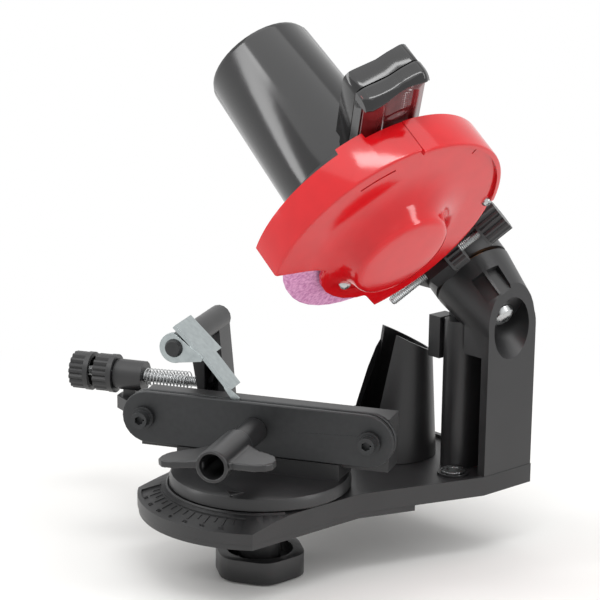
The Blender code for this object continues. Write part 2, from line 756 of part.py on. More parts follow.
# Column: a rounded upright with an open recess, and the hinge socket across its top
column_back = REAR_REACH - COLUMN_INSET
column_right = REAR_HALF - COLUMN_INSET
upright_centre = (flare_reach + column_back) / 2
upright_half = (column_back - flare_reach) / 2
face_height = hinge_in_base.z - (REAR_HALF - hinge_in_base.x) * math.tan(SPINDLE_TILT)
tombstone = [(flare_reach, -BASE_THICK + EDGE), (column_back, -BASE_THICK + EDGE)]
tombstone += arc((upright_centre, face_height), upright_half, 0, math.pi, 20)
upright_turn = Matrix(((0, 0, 1, 0), (1, 0, 0, 0), (0, 1, 0, 0), (0, 0, 0, 1)))
column = add("column_block", moved(slab(tombstone, COLUMN_LEFT, column_right), upright_turn),
             base_frame)
post_x = COLUMN_LEFT + COLUMN_POST_RADIUS
post_y = flare_reach + COLUMN_POST_RADIUS
recess_left = COLUMN_LEFT + 2 * COLUMN_POST_RADIUS
column_floor = -DECK_SINK - EDGE
cut(column, block((recess_left, flare_reach - OVERRUN, column_floor),
                  (REAR_HALF - COLUMN_WALL, COLUMN_BACK_REACH, COLUMN_RECESS_HEIGHT)))
cut(column, block((COLUMN_LEFT - OVERRUN, flare_reach - OVERRUN, column_floor),
                  (recess_left + OVERRUN, post_y, face_height + upright_half + OVERRUN)))
fuse(column, bar((post_x, post_y, column_floor - EDGE), (post_x, post_y, face_height + EDGE),
                 COLUMN_POST_RADIUS, SMALL_STEPS))
socket_end = hinge_in_base + axis_down_right * SOCKET_LENGTH
fuse(column, cone(hinge_in_base, socket_end, SOCKET_RADIUS, SOCKET_END_RADIUS))
above = block((-SOCKET_LENGTH, -SOCKET_LENGTH, -SOCKET_LENGTH * 2), (SOCKET_LENGTH, SOCKET_LENGTH, 0))
hinge_place = Matrix.Translation(hinge_in_base) @ head_turn
cut(column, moved(above, hinge_place))
cut(column, block((column_right, 0, -BASE_THICK), (REAR_HALF + SOCKET_LENGTH, REAR_REACH * 2,
                                               face_height * 2)))
fuse(column, block((COLUMN_LEFT - STOP_TAB_WIDTH, post_y - COLUMN_POST_RADIUS + EDGE, STOP_TAB_LOW),
                   (COLUMN_LEFT + EDGE, post_y + STOP_TAB_THICK, STOP_TAB_HIGH)))
cut(column, moved(bar((0, 0, SCOOP_START), (0, 0, SOCKET_LENGTH * 2), SCOOP_RADIUS), hinge_place))
cut(column, moved(bar((0, 0, -OVERRUN), (0, 0, SCOOP_START + OVERRUN), HINGE_BORE_RADIUS,
                      SMALL_STEPS), hinge_place))
cut(column, moved(bar((0, 0, -OVERRUN), (0, 0, SOCKET_CUP_DEPTH), HINGE_RING_OUTER_RADIUS + GAP),
                  hinge_place))
for angle in SOCKET_POCKET_ANGLES:
    pocket = block((SOCKET_POCKET_FLOOR, -SOCKET_POCKET_WIDTH / 2, SOCKET_POCKET_START),
                   (SOCKET_RADIUS + OVERRUN, SOCKET_POCKET_WIDTH / 2,
                    SOCKET_POCKET_START + SOCKET_POCKET_LENGTH))
    cut(column, moved(pocket, hinge_place @ Matrix.Rotation(angle, 4, "Z")))
boolean(base, column, "UNION")
cut(base, merged(*bores))

# Bench bushes, pressed into the base
bush_top = -DECK_SINK + BENCH_RING_HEIGHT + GAP
for side, label in ((-1, "left"), (1, "right")):
    profile = [
        (BENCH_BUSH_BORE_RADIUS, -BASE_THICK + GAP), (BENCH_BUSH_RADIUS, -BASE_THICK + GAP),
        (BENCH_BUSH_RADIUS, bush_top), (BENCH_BUSH_FLANGE_RADIUS, bush_top),
        (BENCH_BUSH_FLANGE_RADIUS, bush_top + BENCH_BUSH_FLANGE),
        (BENCH_BUSH_BORE_RADIUS, bush_top + BENCH_BUSH_FLANGE)]
    bush = moved(spun(profile, steps=SMALL_STEPS), Matrix.Translation((side * BENCH_BOLT_X, bench_y, 0)))
    add("bench_bush_" + label, bush, base_frame, STEEL_BRIGHT)

# Spark deflector: a tapered tube cut on the slant, with one side open
floor = -DECK_SINK + GAP
deflector_place = Matrix.Translation((DEFLECTOR_X, DEFLECTOR_REACH, 0))
lean_x = DEFLECTOR_LEAN_X / DEFLECTOR_HEIGHT
lean_y = DEFLECTOR_LEAN_Y / DEFLECTOR_HEIGHT
deflector_lean = Matrix(((1, 0, lean_x, 0), (0, 1, lean_y, 0), (0, 0, 1, 0), (0, 0, 0, 1)))
deflector_profile = [
    (DEFLECTOR_BASE_RADIUS - DEFLECTOR_WALL, floor), (DEFLECTOR_BASE_RADIUS, floor),
    (DEFLECTOR_TOP_RADIUS, floor + DEFLECTOR_HEIGHT),
    (DEFLECTOR_TOP_RADIUS - DEFLECTOR_WALL, floor + DEFLECTOR_HEIGHT)]
deflector_shape = moved(spun(deflector_profile), deflector_place @ deflector_lean)
deflector = add("spark_deflector", deflector_shape, base_frame, BLACK_SATIN)
slant = block((-DEFLECTOR_HEIGHT, -DEFLECTOR_HEIGHT, 0), (DEFLECTOR_HEIGHT, DEFLECTOR_HEIGHT,
                                                          DEFLECTOR_HEIGHT))
slant_turn = Matrix.Rotation(DEFLECTOR_CUT_HEADING, 4, "Z") @ Matrix.Rotation(
    DEFLECTOR_CUT_SLOPE, 4, "Y")
slant_place = Matrix.Translation((DEFLECTOR_X + lean_x * DEFLECTOR_CUT_HEIGHT,
                                  DEFLECTOR_REACH + lean_y * DEFLECTOR_CUT_HEIGHT,
                                  DEFLECTOR_CUT_HEIGHT))
cut(deflector, moved(slant, slant_place @ slant_turn))
mouth = block((0, -DEFLECTOR_MOUTH_WIDTH / 2, -DECK_SINK - OVERRUN),
              (DEFLECTOR_BASE_RADIUS * 2, DEFLECTOR_MOUTH_WIDTH / 2, DEFLECTOR_HEIGHT * 2))
cut(deflector, moved(mouth, deflector_place @ Matrix.Rotation(DEFLECTOR_MOUTH_HEADING, 4, "Z")))

# Hinge bolt, its nut and the bronze ring that shows between socket and barrel
z_axis = Vector((0, 0, 1))
barrel_far = ARM_FAR + HINGE_FACE
bolt_end = barrel_far - HINGE_NUT - HINGE_BOLT_RADIUS
head_low = SCOOP_START + GAP
bolt_profile = [
    (0, head_low + HINGE_BOLT_HEAD), (HINGE_BOLT_HEAD_RADIUS * 0.55, head_low + HINGE_BOLT_HEAD * 0.92),
    (HINGE_BOLT_HEAD_RADIUS * 0.88, head_low + HINGE_BOLT_HEAD * 0.6),
    (HINGE_BOLT_HEAD_RADIUS, head_low), (HINGE_BOLT_RADIUS, head_low), (HINGE_BOLT_RADIUS, bolt_end),
    (0, bolt_end)]
bolt = turned("hinge_bolt", bolt_profile, head_frame, STEEL_BRIGHT, SMALL_STEPS)
cut(bolt, bar((0, 0, head_low + HINGE_BOLT_HEAD * 0.4), (0, 0, head_low + HINGE_BOLT_HEAD + OVERRUN),
              JAW_SCREW_SOCKET_RADIUS, 6))
nut("hinge_nut", head_frame, STEEL_BRIGHT, (0, 0, barrel_far - GAP - HINGE_NUT), HINGE_NUT_RADIUS,
    HINGE_BOLT_RADIUS + GAP, HINGE_NUT)
ring_far = -BARREL_FACE_CLEAR + GAP
add("hinge_ring", ring((0, 0, ring_far), z_axis, HINGE_RING_OUTER_RADIUS, HINGE_RING_INNER_RADIUS,
                       SOCKET_CUP_DEPTH - GAP - ring_far), head_frame, BRONZE)

# Turntable: disc, pedestal, wall behind the jaws, bracket and boss of the adjuster
table_low = GAP
table_profile = [
    (0, TABLE_THICK), (TABLE_RADIUS - TABLE_BEVEL, TABLE_THICK),
    (TABLE_RADIUS - TABLE_BEVEL * 0.3, TABLE_THICK - TABLE_BEVEL * 0.3),
    (TABLE_RADIUS, TABLE_THICK - TABLE_BEVEL), (TABLE_RADIUS, table_low + EDGE),
    (TABLE_RADIUS - EDGE, table_low), (0, table_low)]
table = turned("turntable", table_profile, vise_frame, BLACK_SATIN, FINE_STEPS)
jaw_screw_x = JAW_LENGTH / 2 - JAW_SCREW_INSET
wall_left = -jaw_screw_x - WALL_LEFT_MARGIN
wall_right = jaw_screw_x + WALL_RIGHT_MARGIN
jaw_top = JAW_BOTTOM + JAW_HEIGHT
jaw_middle = JAW_BOTTOM + JAW_HEIGHT / 2
slot_front = -JAW_FRONT_FACE + JAW_THICK
rear_jaw_front = slot_front + JAW_SLOT
wall_front = rear_jaw_front + JAW_THICK + GAP
wall_back = wall_front + PEDESTAL_DEPTH
wall_low = JAW_BOTTOM - WALL_BOTTOM_DROP
wall_top = jaw_top - WALL_TOP_CLEAR
fuse(table, block((-PEDESTAL_HALF, slot_front, TABLE_THICK - EDGE),
                  (PEDESTAL_HALF, wall_back, JAW_BOTTOM - PEDESTAL_TOP_CLEAR)))
fuse(table, block((wall_left, wall_front, wall_low), (wall_right, wall_back, wall_top)))
recess_back = wall_back + OVERRUN
wall_recesses = []
middle_spans = ((-PEDESTAL_HALF + LIP_WIDTH, -JAW_COLLAR_RADIUS - SOFT_EDGE),
                (JAW_COLLAR_RADIUS + SOFT_EDGE, PEDESTAL_HALF - LIP_WIDTH))
for left, right in middle_spans:
    wall_recesses.append(block((left, wall_back - WALL_RECESS_DEPTH, wall_low + WALL_RECESS_SKIN),
                               (right, recess_back, wall_top - WALL_RECESS_SKIN)))
cut(table, merged(*wall_recesses))
boss_start = (BOSS_FAR_X, ADJUST_Y, ADJUST_RISE)
boss_end = (BOSS_NEAR_X, ADJUST_Y, ADJUST_RISE)
boss_middle = (BOSS_FAR_X + BOSS_NEAR_X) / 2
bracket = [
    (-PEDESTAL_HALF, wall_front + EDGE), (-PEDESTAL_HALF + BRACKET_HEIGHT, wall_back - EDGE),
    (boss_middle + BRACKET_THICK, ADJUST_Y + BRACKET_THICK / 2),
    (boss_middle - BRACKET_THICK, ADJUST_Y + BRACKET_THICK / 2),
    (boss_middle - BRACKET_THICK, ADJUST_Y - BRACKET_THICK / 2)]
bracket_low = ADJUST_RISE - BRACKET_HEIGHT
fuse(table, slab(bracket, bracket_low, bracket_low + BRACKET_THICK))
fuse(table, block((boss_middle - BRACKET_THICK / 2, ADJUST_Y - BRACKET_THICK / 2,
                   bracket_low + EDGE),
                  (boss_middle + BRACKET_THICK / 2, ADJUST_Y + BRACKET_THICK / 2, ADJUST_RISE)))
fuse(table, bar(boss_start, boss_end, BOSS_RADIUS, SMALL_STEPS))
table_bores = [bar((BOSS_FAR_X - OVERRUN, ADJUST_Y, ADJUST_RISE),
                   (BOSS_NEAR_X + OVERRUN, ADJUST_Y, ADJUST_RISE), ROD_BORE_RADIUS, SMALL_STEPS)]
for x in (-jaw_screw_x, jaw_screw_x):
    table_bores.append(bar((x, wall_front - OVERRUN, jaw_middle),
                           (x, wall_front + JAW_SCREW_ENTRY + EDGE, jaw_middle),
                           JAW_SCREW_BORE_RADIUS, SMALL_STEPS))
table_bores.append(bar((0, wall_front - OVERRUN, jaw_middle),
                       (0, wall_front + JAW_SCREW_ENTRY + EDGE, jaw_middle), CLAMP_BORE_RADIUS,
                       SMALL_STEPS))
table_bores.append(bar((0, 0, -OVERRUN), (0, 0, TABLE_THICK - LIP_WIDTH), STUD_BORE_RADIUS,
                       SMALL_STEPS))
pointer = [(-POINTER_WIDTH / 2, -POINTER_TIP_RADIUS + POINTER_LENGTH),
           (0, -POINTER_TIP_RADIUS), (POINTER_WIDTH / 2, -POINTER_TIP_RADIUS + POINTER_LENGTH)]
table_bores.append(slab(pointer, TABLE_THICK - POINTER_DEPTH, TABLE_THICK + OVERRUN))
cut(table, merged(*table_bores))
stud_top = TABLE_THICK - LIP_WIDTH - GAP
knob_top = -LOCK_KNOB_TOP
knob_low = knob_top - LOCK_KNOB_HEIGHT
knob_floor = knob_low + LIP_WIDTH
add("turntable_stud", bar((0, 0, knob_floor + GAP), (0, 0, stud_top), STUD_RADIUS, SMALL_STEPS),
    vise_frame, STEEL_BRIGHT)


def jaw_outline():
    """A long plate with round ends, in the X and Z of the vise."""
    half = JAW_LENGTH / 2 - JAW_HEIGHT / 2
    right = arc((half, jaw_middle), JAW_HEIGHT / 2, -math.pi / 2, math.pi / 2, 12)
    left = arc((-half, jaw_middle), JAW_HEIGHT / 2, math.pi / 2, 3 * math.pi / 2, 12)
    return right + left


stand_up = Matrix(((1, 0, 0, 0), (0, 0, 1, 0), (0, 1, 0, 0), (0, 0, 0, 1)))


def jaw(name, front):
    """One steel jaw plate with its two guide bores and the clamp bore."""
    plate = add(name, moved(slab(jaw_outline(), front, front + JAW_THICK), stand_up), vise_frame,
                STEEL_DARK)
    soften(plate, EDGE * 0.5, 1)
    holes = [bar((0, front - OVERRUN, jaw_middle), (0, front + JAW_THICK + OVERRUN, jaw_middle),
                 CLAMP_BORE_RADIUS, SMALL_STEPS)]
    for x in (-jaw_screw_x, jaw_screw_x):
        holes.append(bar((x, front - OVERRUN, jaw_middle), (x, front + JAW_THICK + OVERRUN, jaw_middle),
                         JAW_SCREW_BORE_RADIUS, SMALL_STEPS))
    cut(plate, merged(*holes))
    return plate


jaw("front_jaw_plate", -JAW_FRONT_FACE)
jaw("rear_jaw_plate", rear_jaw_front)
screw_length = JAW_FRONT_FACE + JAW_OPENING + JAW_COLLAR + wall_front + JAW_SCREW_ENTRY - GAP
for x, label in ((-jaw_screw_x, "left"), (jaw_screw_x, "right")):
    under_head = -JAW_FRONT_FACE - JAW_OPENING - JAW_COLLAR
    guide = socket_head("jaw_screw_" + label, vise_frame, STEEL_DARK, (x, under_head, jaw_middle),
                        (0, 1, 0), JAW_SCREW_RADIUS, screw_length, JAW_SCREW_HEAD_RADIUS,
                        JAW_SCREW_HEAD, JAW_SCREW_SOCKET_RADIUS, JAW_SCREW_SOCKET_DEPTH)
    fuse(guide, bar((x, under_head - GAP, jaw_middle), (x, under_head + JAW_COLLAR, jaw_middle),
                    JAW_COLLAR_RADIUS, SMALL_STEPS))
add("clamp_stud", bar((0, -JAW_FRONT_FACE - CLAMP_STUD_REACH, jaw_middle),
                      (0, wall_front + JAW_SCREW_ENTRY - GAP, jaw_middle), CLAMP_STUD_RADIUS, SMALL_STEPS),
    vise_frame, STEEL_BRIGHT)

# Wing knob: a hollow tube with two paddles and a narrower neck down to the jaw
knob_back = -JAW_FRONT_FACE - GAP
step_y = knob_back - WING_NECK_LENGTH
knob_front = step_y - WING_TUBE_LENGTH
wing = add("clamp_wing_knob", bar((0, step_y, jaw_middle), (0, knob_front, jaw_middle),
                                  WING_TUBE_RADIUS), vise_frame, BLACK_SATIN)
fuse(wing, cone((0, step_y - EDGE, jaw_middle), (0, knob_back, jaw_middle), WING_NECK_RADIUS,
                WING_NECK_RADIUS * 0.96))
wing_half = WING_SPAN / 2
tip_centre_y = knob_front + WING_TIP_RADIUS
wing_outline = arc((wing_half - WING_TIP_RADIUS, tip_centre_y), WING_TIP_RADIUS, -math.pi / 2,
                   math.radians(60), 10)
wing_outline += [(WING_TUBE_RADIUS, knob_front + WING_ROOT)]
wing_outline += [(-x, y) for x, y in reversed(wing_outline)]
soften(wing, EDGE * 0.8, 1, math.radians(60))
wing_turn = (Matrix.Translation((0, 0, jaw_middle)) @ Matrix.Rotation(WING_TILT, 4, "Y"))
fuse(wing, moved(slab(wing_outline, -WING_THICK / 2, WING_THICK / 2), wing_turn))
cut(wing, bar((0, knob_front - OVERRUN, jaw_middle), (0, knob_front + WING_BORE_DEPTH, jaw_middle),
              WING_BORE_RADIUS, SMALL_STEPS))
cut(wing, bar((0, knob_front + WING_BORE_DEPTH - EDGE, jaw_middle),
              (0, knob_back + OVERRUN, jaw_middle), CLAMP_INSERT_RADIUS + GAP, SMALL_STEPS))
insert_back = knob_back - GAP
add("clamp_knob_insert", ring((0, insert_back, jaw_middle), (0, -1, 0), CLAMP_INSERT_RADIUS,
                              CLAMP_STUD_RADIUS + GAP, CLAMP_INSERT_LENGTH, SMALL_STEPS),
    vise_frame, BRONZE)

# Star knob under the base, its insert and washer
base_low = -BASE_THICK - SKIRT_DROP
star = []
for i in range(LOCK_KNOB_LOBES * LOBE_STEPS):
    angle = math.tau * i / (LOCK_KNOB_LOBES * LOBE_STEPS)
    reach = LOCK_KNOB_RADIUS - LOCK_KNOB_LOBE * (1 - math.cos(LOCK_KNOB_LOBES * angle)) / 2
    star.append((reach * math.cos(angle), reach * math.sin(angle)))
lock_knob = add("turntable_lock_knob", slab(star, knob_low, knob_top),
                vise_frame, BLACK_SATIN)
soften(lock_knob, SOFT_EDGE, 2)
cut(lock_knob, bar((0, 0, knob_top - LOCK_KNOB_DISH_DEPTH), (0, 0, knob_top + OVERRUN),
                   LOCK_KNOB_DISH_RADIUS))
washer_low = base_low - GAP - LOCK_WASHER
fuse(lock_knob, bar((0, 0, knob_low + EDGE), (0, 0, washer_low - GAP),
                    LOCK_KNOB_HUB_RADIUS, SMALL_STEPS))
cut(lock_knob, bar((0, 0, knob_floor), (0, 0, OVERRUN),
                   LOCK_INSERT_RADIUS + GAP, SMALL_STEPS))
add("lock_knob_insert", ring((0, 0, knob_floor + GAP), z_axis, LOCK_INSERT_RADIUS, STUD_RADIUS + GAP,
                             washer_low - 2 * GAP - knob_floor, SMALL_STEPS), vise_frame, BRONZE)
add("lock_washer", ring((0, 0, washer_low), z_axis, LOCK_WASHER_RADIUS, STUD_RADIUS + GAP,
                        LOCK_WASHER, SMALL_STEPS), vise_frame, STEEL_BRIGHT)

# Stop carrier: a leaning channel with a barrel for the pivot pin
carrier_left = CARRIER_X - CARRIER_WIDTH / 2
carrier_right = CARRIER_X + CARRIER_WIDTH / 2
carrier_outline = [
    (carrier_left + CARRIER_LEAN / 2, CARRIER_FOOT), (carrier_right + CARRIER_LEAN / 3, CARRIER_FOOT),
    (CARRIER_X + BARREL_RADIUS * 0.9, PIVOT_RISE - BARREL_RADIUS * 0.4),
    (CARRIER_X - BARREL_RADIUS * 0.9, PIVOT_RISE - BARREL_RADIUS * 0.4),
    (carrier_left - CARRIER_LEAN / 4, ADJUST_RISE + CARRIER_WIDTH)]
carrier = add("stop_carrier", moved(slab(carrier_outline, CARRIER_NEAR, CARRIER_FAR), stand_up),
              vise_frame, BLACK_SATIN)
fuse(carrier, bar((CARRIER_X, BARREL_NEAR, PIVOT_RISE), (CARRIER_X, CARRIER_FAR, PIVOT_RISE),
                  BARREL_RADIUS, SMALL_STEPS))
channel = block((carrier_left + CARRIER_WALL + CARRIER_LEAN / 2, CARRIER_NEAR - OVERRUN,
                 CARRIER_FOOT + CARRIER_WALL),
                (carrier_right - CARRIER_WALL, CARRIER_FAR - CARRIER_WALL * 1.5,
                 ADJUST_RISE + CARRIER_WIDTH))
cut(carrier, channel)
web = slab([
    (carrier_left + CARRIER_WALL, CARRIER_FOOT + CARRIER_WALL / 2),
    (carrier_left + CARRIER_WALL * 1.8, CARRIER_FOOT + CARRIER_WALL / 2),
    (carrier_right - CARRIER_WALL * 0.8, ADJUST_RISE + CARRIER_WIDTH + CARRIER_WALL / 2),
    (carrier_right - CARRIER_WALL * 1.8, ADJUST_RISE + CARRIER_WIDTH + CARRIER_WALL / 2)],
    CARRIER_NEAR + CARRIER_WALL * 2, CARRIER_FAR - EDGE)
fuse(carrier, moved(web, stand_up))
pin_bore = merged(
    bar((CARRIER_X, BARREL_NEAR - OVERRUN, PIVOT_RISE), (CARRIER_X, CARRIER_FAR - CARRIER_WALL,
                                                         PIVOT_RISE), PIVOT_BORE_RADIUS, SMALL_STEPS),
    bar((carrier_left - CARRIER_WIDTH, ADJUST_Y, ADJUST_RISE),
        (CARRIER_X, ADJUST_Y, ADJUST_RISE), ROD_BORE_RADIUS, SMALL_STEPS))
cut(carrier, pin_bore)

# Pivot pin: its head holds the stop against the barrel's near end
ear_back = BARREL_NEAR - GAP
ear_front = ear_back - STOP_SHEET
pin = add("pivot_pin", bar((CARRIER_X, ear_front - GAP - EDGE, PIVOT_RISE),
                           (CARRIER_X, CARRIER_FAR - CARRIER_WALL - GAP, PIVOT_RISE),
                           PIVOT_PIN_RADIUS, SMALL_STEPS), vise_frame, STEEL_DARK)
fuse(pin, cone((CARRIER_X, ear_front - GAP, PIVOT_RISE), (CARRIER_X, ear_front - GAP - PIVOT_HEAD,
                                                         PIVOT_RISE), PIVOT_HEAD_RADIUS,
               PIVOT_HEAD_RADIUS * 0.8, SMALL_STEPS))

# Adjuster screw, its knob, the lock ring and the loose spring
rod_right = carrier_left + CARRIER_LEAN / 2
lock_right = BOSS_FAR_X - GAP
lock_left = lock_right - LOCK_RING_LENGTH
knob_right = lock_left - KNOB_SPACE
knob_left = knob_right - KNOB_LENGTH
rod = add("adjuster_rod", bar((knob_left + KNOB_FLANGE, ADJUST_Y, ADJUST_RISE),
                              (rod_right, ADJUST_Y, ADJUST_RISE), ROD_RADIUS, SMALL_STEPS),
          vise_frame, STEEL_BRIGHT)
knurled_knob("adjuster_lock_ring", vise_frame, BLACK_SATIN, (lock_left, ADJUST_Y, ADJUST_RISE),
             (1, 0, 0), KNOB_RADIUS, LOCK_RING_LENGTH, ROD_BORE_RADIUS, KNOB_FLANGE_RADIUS,
             KNOB_FLANGE, True, KNOB_HOLLOW_DEPTH)
adjuster_knob = knurled_knob("adjuster_knob", vise_frame, BLACK_SATIN,
                             (knob_left, ADJUST_Y, ADJUST_RISE), (1, 0, 0), KNOB_RADIUS,
                             KNOB_LENGTH, None, KNOB_FLANGE_RADIUS, KNOB_FLANGE, True,
                             KNOB_HOLLOW_DEPTH)
cut(adjuster_knob, bar((knob_left + KNOB_FLANGE - GAP, ADJUST_Y, ADJUST_RISE),
                       (knob_right + OVERRUN, ADJUST_Y, ADJUST_RISE), ROD_RADIUS + GAP, SMALL_STEPS))
spring_left = BOSS_NEAR_X + GAP + SPRING_WIRE_RADIUS
spring_length = (rod_right - BOSS_NEAR_X) * SPRING_SHARE
spring_route = []
for i in range(SPRING_CURLS * SPRING_POINTS_PER_CURL + 1):
    share = i / (SPRING_CURLS * SPRING_POINTS_PER_CURL)
    angle = math.tau * i / SPRING_POINTS_PER_CURL
    reach = SPRING_RADIUS + (SPRING_END_RADIUS - SPRING_RADIUS) * share
    spring_route.append((spring_left + spring_length * share, ADJUST_Y + reach * math.cos(angle),
                         ADJUST_RISE + reach * math.sin(angle)))
helix_tube("adjuster_spring", vise_frame, STEEL_BRIGHT, spring_route, SPRING_WIRE_RADIUS)
print("adjuster spring, least gap", least_gap(spring_route, SPRING_WIRE_RADIUS,
                                              SPRING_POINTS_PER_CURL))

# Chain stop: folded zinc sheet with a round ear, a wide slanting face and a tongue
tip_x = STOP_TIP_X
tip_rise = CHAIN_LEVEL - STOP_TIP_SINK
crest_x = CARRIER_X + STOP_CREST_SHIFT
crest_rise = PIVOT_RISE + STOP_EAR_RADIUS + STOP_SHEET * 2
slope_low_x = CARRIER_X + STOP_SLOPE_RUN
slope_low_rise = PIVOT_RISE - STOP_SLOPE_DROP
tongue_low_x = tip_x - STOP_TONGUE_RUN
tongue_low_rise = jaw_top + STOP_TONGUE_RISE
sheet_path = [(crest_x, crest_rise), (slope_low_x, slope_low_rise), (tongue_low_x, tongue_low_rise)]


def strip(path, thickness):
    """A bent strip in X and Z: its upper edge follows the path, its lower edge lies a thickness in."""
    lower = []
    for i, (x, z) in enumerate(path):
        before = Vector(path[max(i - 1, 0)])
        after = Vector(path[min(i + 1, len(path) - 1)])
        along = (after - before).normalized()
        lower.append((x - along.y * -thickness, z - along.x * thickness))
    return path + [(x, z) for x, z in reversed(lower)]


face_back = ear_front + STOP_FACE_WIDTH
tongue_back = ear_front + STOP_TONGUE_WIDTH
sheet_front = ear_front + GAP
stop = add("chain_stop", moved(slab(strip(sheet_path, STOP_SHEET), sheet_front, face_back), stand_up),
           vise_frame, ZINC)
cut(stop, block((slope_low_x - STOP_SHEET, tongue_back, 0), (0, face_back + OVERRUN, slope_low_rise)))
slot_middle = slot_front + JAW_SLOT / 2
tip_outline = [
    (tongue_low_x - STOP_SHEET * 1.9, tongue_low_rise + STOP_SHEET * 0.5),
    (tongue_low_x - STOP_SHEET * 0.4, tongue_low_rise + STOP_SHEET * 0.2),
    (tip_x + STOP_SHEET * 0.8, tip_rise + STOP_SHEET), (tip_x + STOP_SHEET * 0.8, tip_rise),
    (tip_x - STOP_SHEET, tip_rise)]
fuse(stop, moved(slab(tip_outline, slot_middle - STOP_TIP_THICK / 2, slot_middle + STOP_TIP_THICK / 2),
                 stand_up))
ear_outline = arc((CARRIER_X, PIVOT_RISE), STOP_EAR_RADIUS, math.radians(90), math.radians(290), 16)
ear_outline += [(slope_low_x - STOP_SHEET * 1.4, slope_low_rise - STOP_SHEET * 0.9),
                (slope_low_x - STOP_SHEET * 0.8, slope_low_rise + STOP_SHEET * 0.1)]
fuse(stop, moved(slab(ear_outline, ear_front, ear_back), stand_up))
cut(stop, bar((CARRIER_X, ear_front - OVERRUN, PIVOT_RISE), (CARRIER_X, ear_back + OVERRUN, PIVOT_RISE),
              PIVOT_BORE_RADIUS, SMALL_STEPS))

# Head arm: the web from the motor to the hinge barrel, with the lug for the depth screw
hinge_in_spindle = (-spindle_x, -spindle_y)
reach = math.hypot(*hinge_in_spindle)
bearing_line = math.atan2(hinge_in_spindle[1], hinge_in_spindle[0])
lean = math.acos((ARM_MOTOR_RADIUS - SOCKET_RADIUS) / reach)
arm_outline = arc((0, 0), ARM_MOTOR_RADIUS, bearing_line + lean, bearing_line + math.tau - lean, 24)
arm_outline += arc(hinge_in_spindle, SOCKET_RADIUS, bearing_line - lean, bearing_line + lean, 16)
head_arm = add("head_arm", slab(arm_outline, ARM_FAR, ARM_NEAR), spindle_frame, BLACK_SATIN)
hx, hy = hinge_in_spindle
barrel_near = HINGE_FACE - BARREL_FACE_CLEAR
fuse(head_arm, bar((hx, hy, ARM_FAR), (hx, hy, barrel_near), SOCKET_RADIUS))
along = Vector((math.cos(DEPTH_ROD_HEADING), math.sin(DEPTH_ROD_HEADING), 0))
across = Vector((-math.sin(DEPTH_ROD_HEADING), math.cos(DEPTH_ROD_HEADING), 0))
rod_start = Vector((DEPTH_ROD_X, DEPTH_ROD_Y, DEPTH_ROD_LEVEL))
rod_turn = Matrix((
    (along.x, across.x, 0, rod_start.x), (along.y, across.y, 0, rod_start.y),
    (0, 0, 1, rod_start.z), (0, 0, 0, 1)))
rod_axis_turn = rod_turn @ Matrix.Translation((0, 0, -DEPTH_ROD_LEVEL))
lug = block((DEPTH_LUG_START, -DEPTH_LUG_WIDTH / 2, ARM_NEAR - EDGE),
            (DEPTH_LUG_START + DEPTH_LUG_LENGTH, DEPTH_LUG_WIDTH / 2, DEPTH_LUG_NEAR))
fuse(head_arm, moved(lug, rod_axis_turn))
cut(head_arm, bar((hx, hy, ARM_FAR - OVERRUN), (hx, hy, barrel_near + OVERRUN), BUSH_RADIUS + GAP,
                  SMALL_STEPS))
cut(head_arm, bar((hx, hy, barrel_near - SPRING_CUP_DEPTH), (hx, hy, barrel_near + OVERRUN),
                  SPRING_CUP_RADIUS))
cut(head_arm, bar((0, 0, ARM_FAR - OVERRUN), (0, 0, ARM_FAR + BEARING_THICK + GAP),
                  BEARING_RADIUS + GAP))
cut(head_arm, bar((0, 0, ARM_FAR - OVERRUN), (0, 0, ARM_NEAR + OVERRUN), FLANGE_RADIUS * 0.5,
                  SMALL_STEPS))
cut(head_arm, moved(bar((DEPTH_LUG_START - OVERRUN, 0, DEPTH_ROD_LEVEL),
                        (DEPTH_LUG_START + DEPTH_LUG_LENGTH + OVERRUN, 0, DEPTH_ROD_LEVEL),
                        DEPTH_ROD_BORE_RADIUS, SMALL_STEPS),
                    rod_axis_turn))

# Bush and return spring inside the barrel
add("hinge_bush", ring((hx, hy, ARM_FAR + GAP), z_axis, BUSH_RADIUS, BUSH_BORE_RADIUS,
                       barrel_near - ARM_FAR - 2 * GAP, SMALL_STEPS), spindle_frame, BRONZE)
coil_space = SPRING_CUP_DEPTH - 2 * RETURN_SPRING_WIRE_RADIUS - 2 * RUNNING_GAP
coil_start = barrel_near - SPRING_CUP_DEPTH + RETURN_SPRING_WIRE_RADIUS + RUNNING_GAP
coil_route = []
for i in range(RETURN_SPRING_CURLS * RETURN_SPRING_POINTS_PER_CURL + 1):
    share = i / (RETURN_SPRING_CURLS * RETURN_SPRING_POINTS_PER_CURL)
    angle = math.tau * i / RETURN_SPRING_POINTS_PER_CURL
    coil_route.append((hx + RETURN_SPRING_RADIUS * math.cos(angle),
                       hy + RETURN_SPRING_RADIUS * math.sin(angle), coil_start + coil_space * share))
helix_tube("return_spring", spindle_frame, STEEL_BRIGHT, coil_route, RETURN_SPRING_WIRE_RADIUS)
print("return spring, least gap", least_gap(coil_route, RETURN_SPRING_WIRE_RADIUS,
                                            RETURN_SPRING_POINTS_PER_CURL))

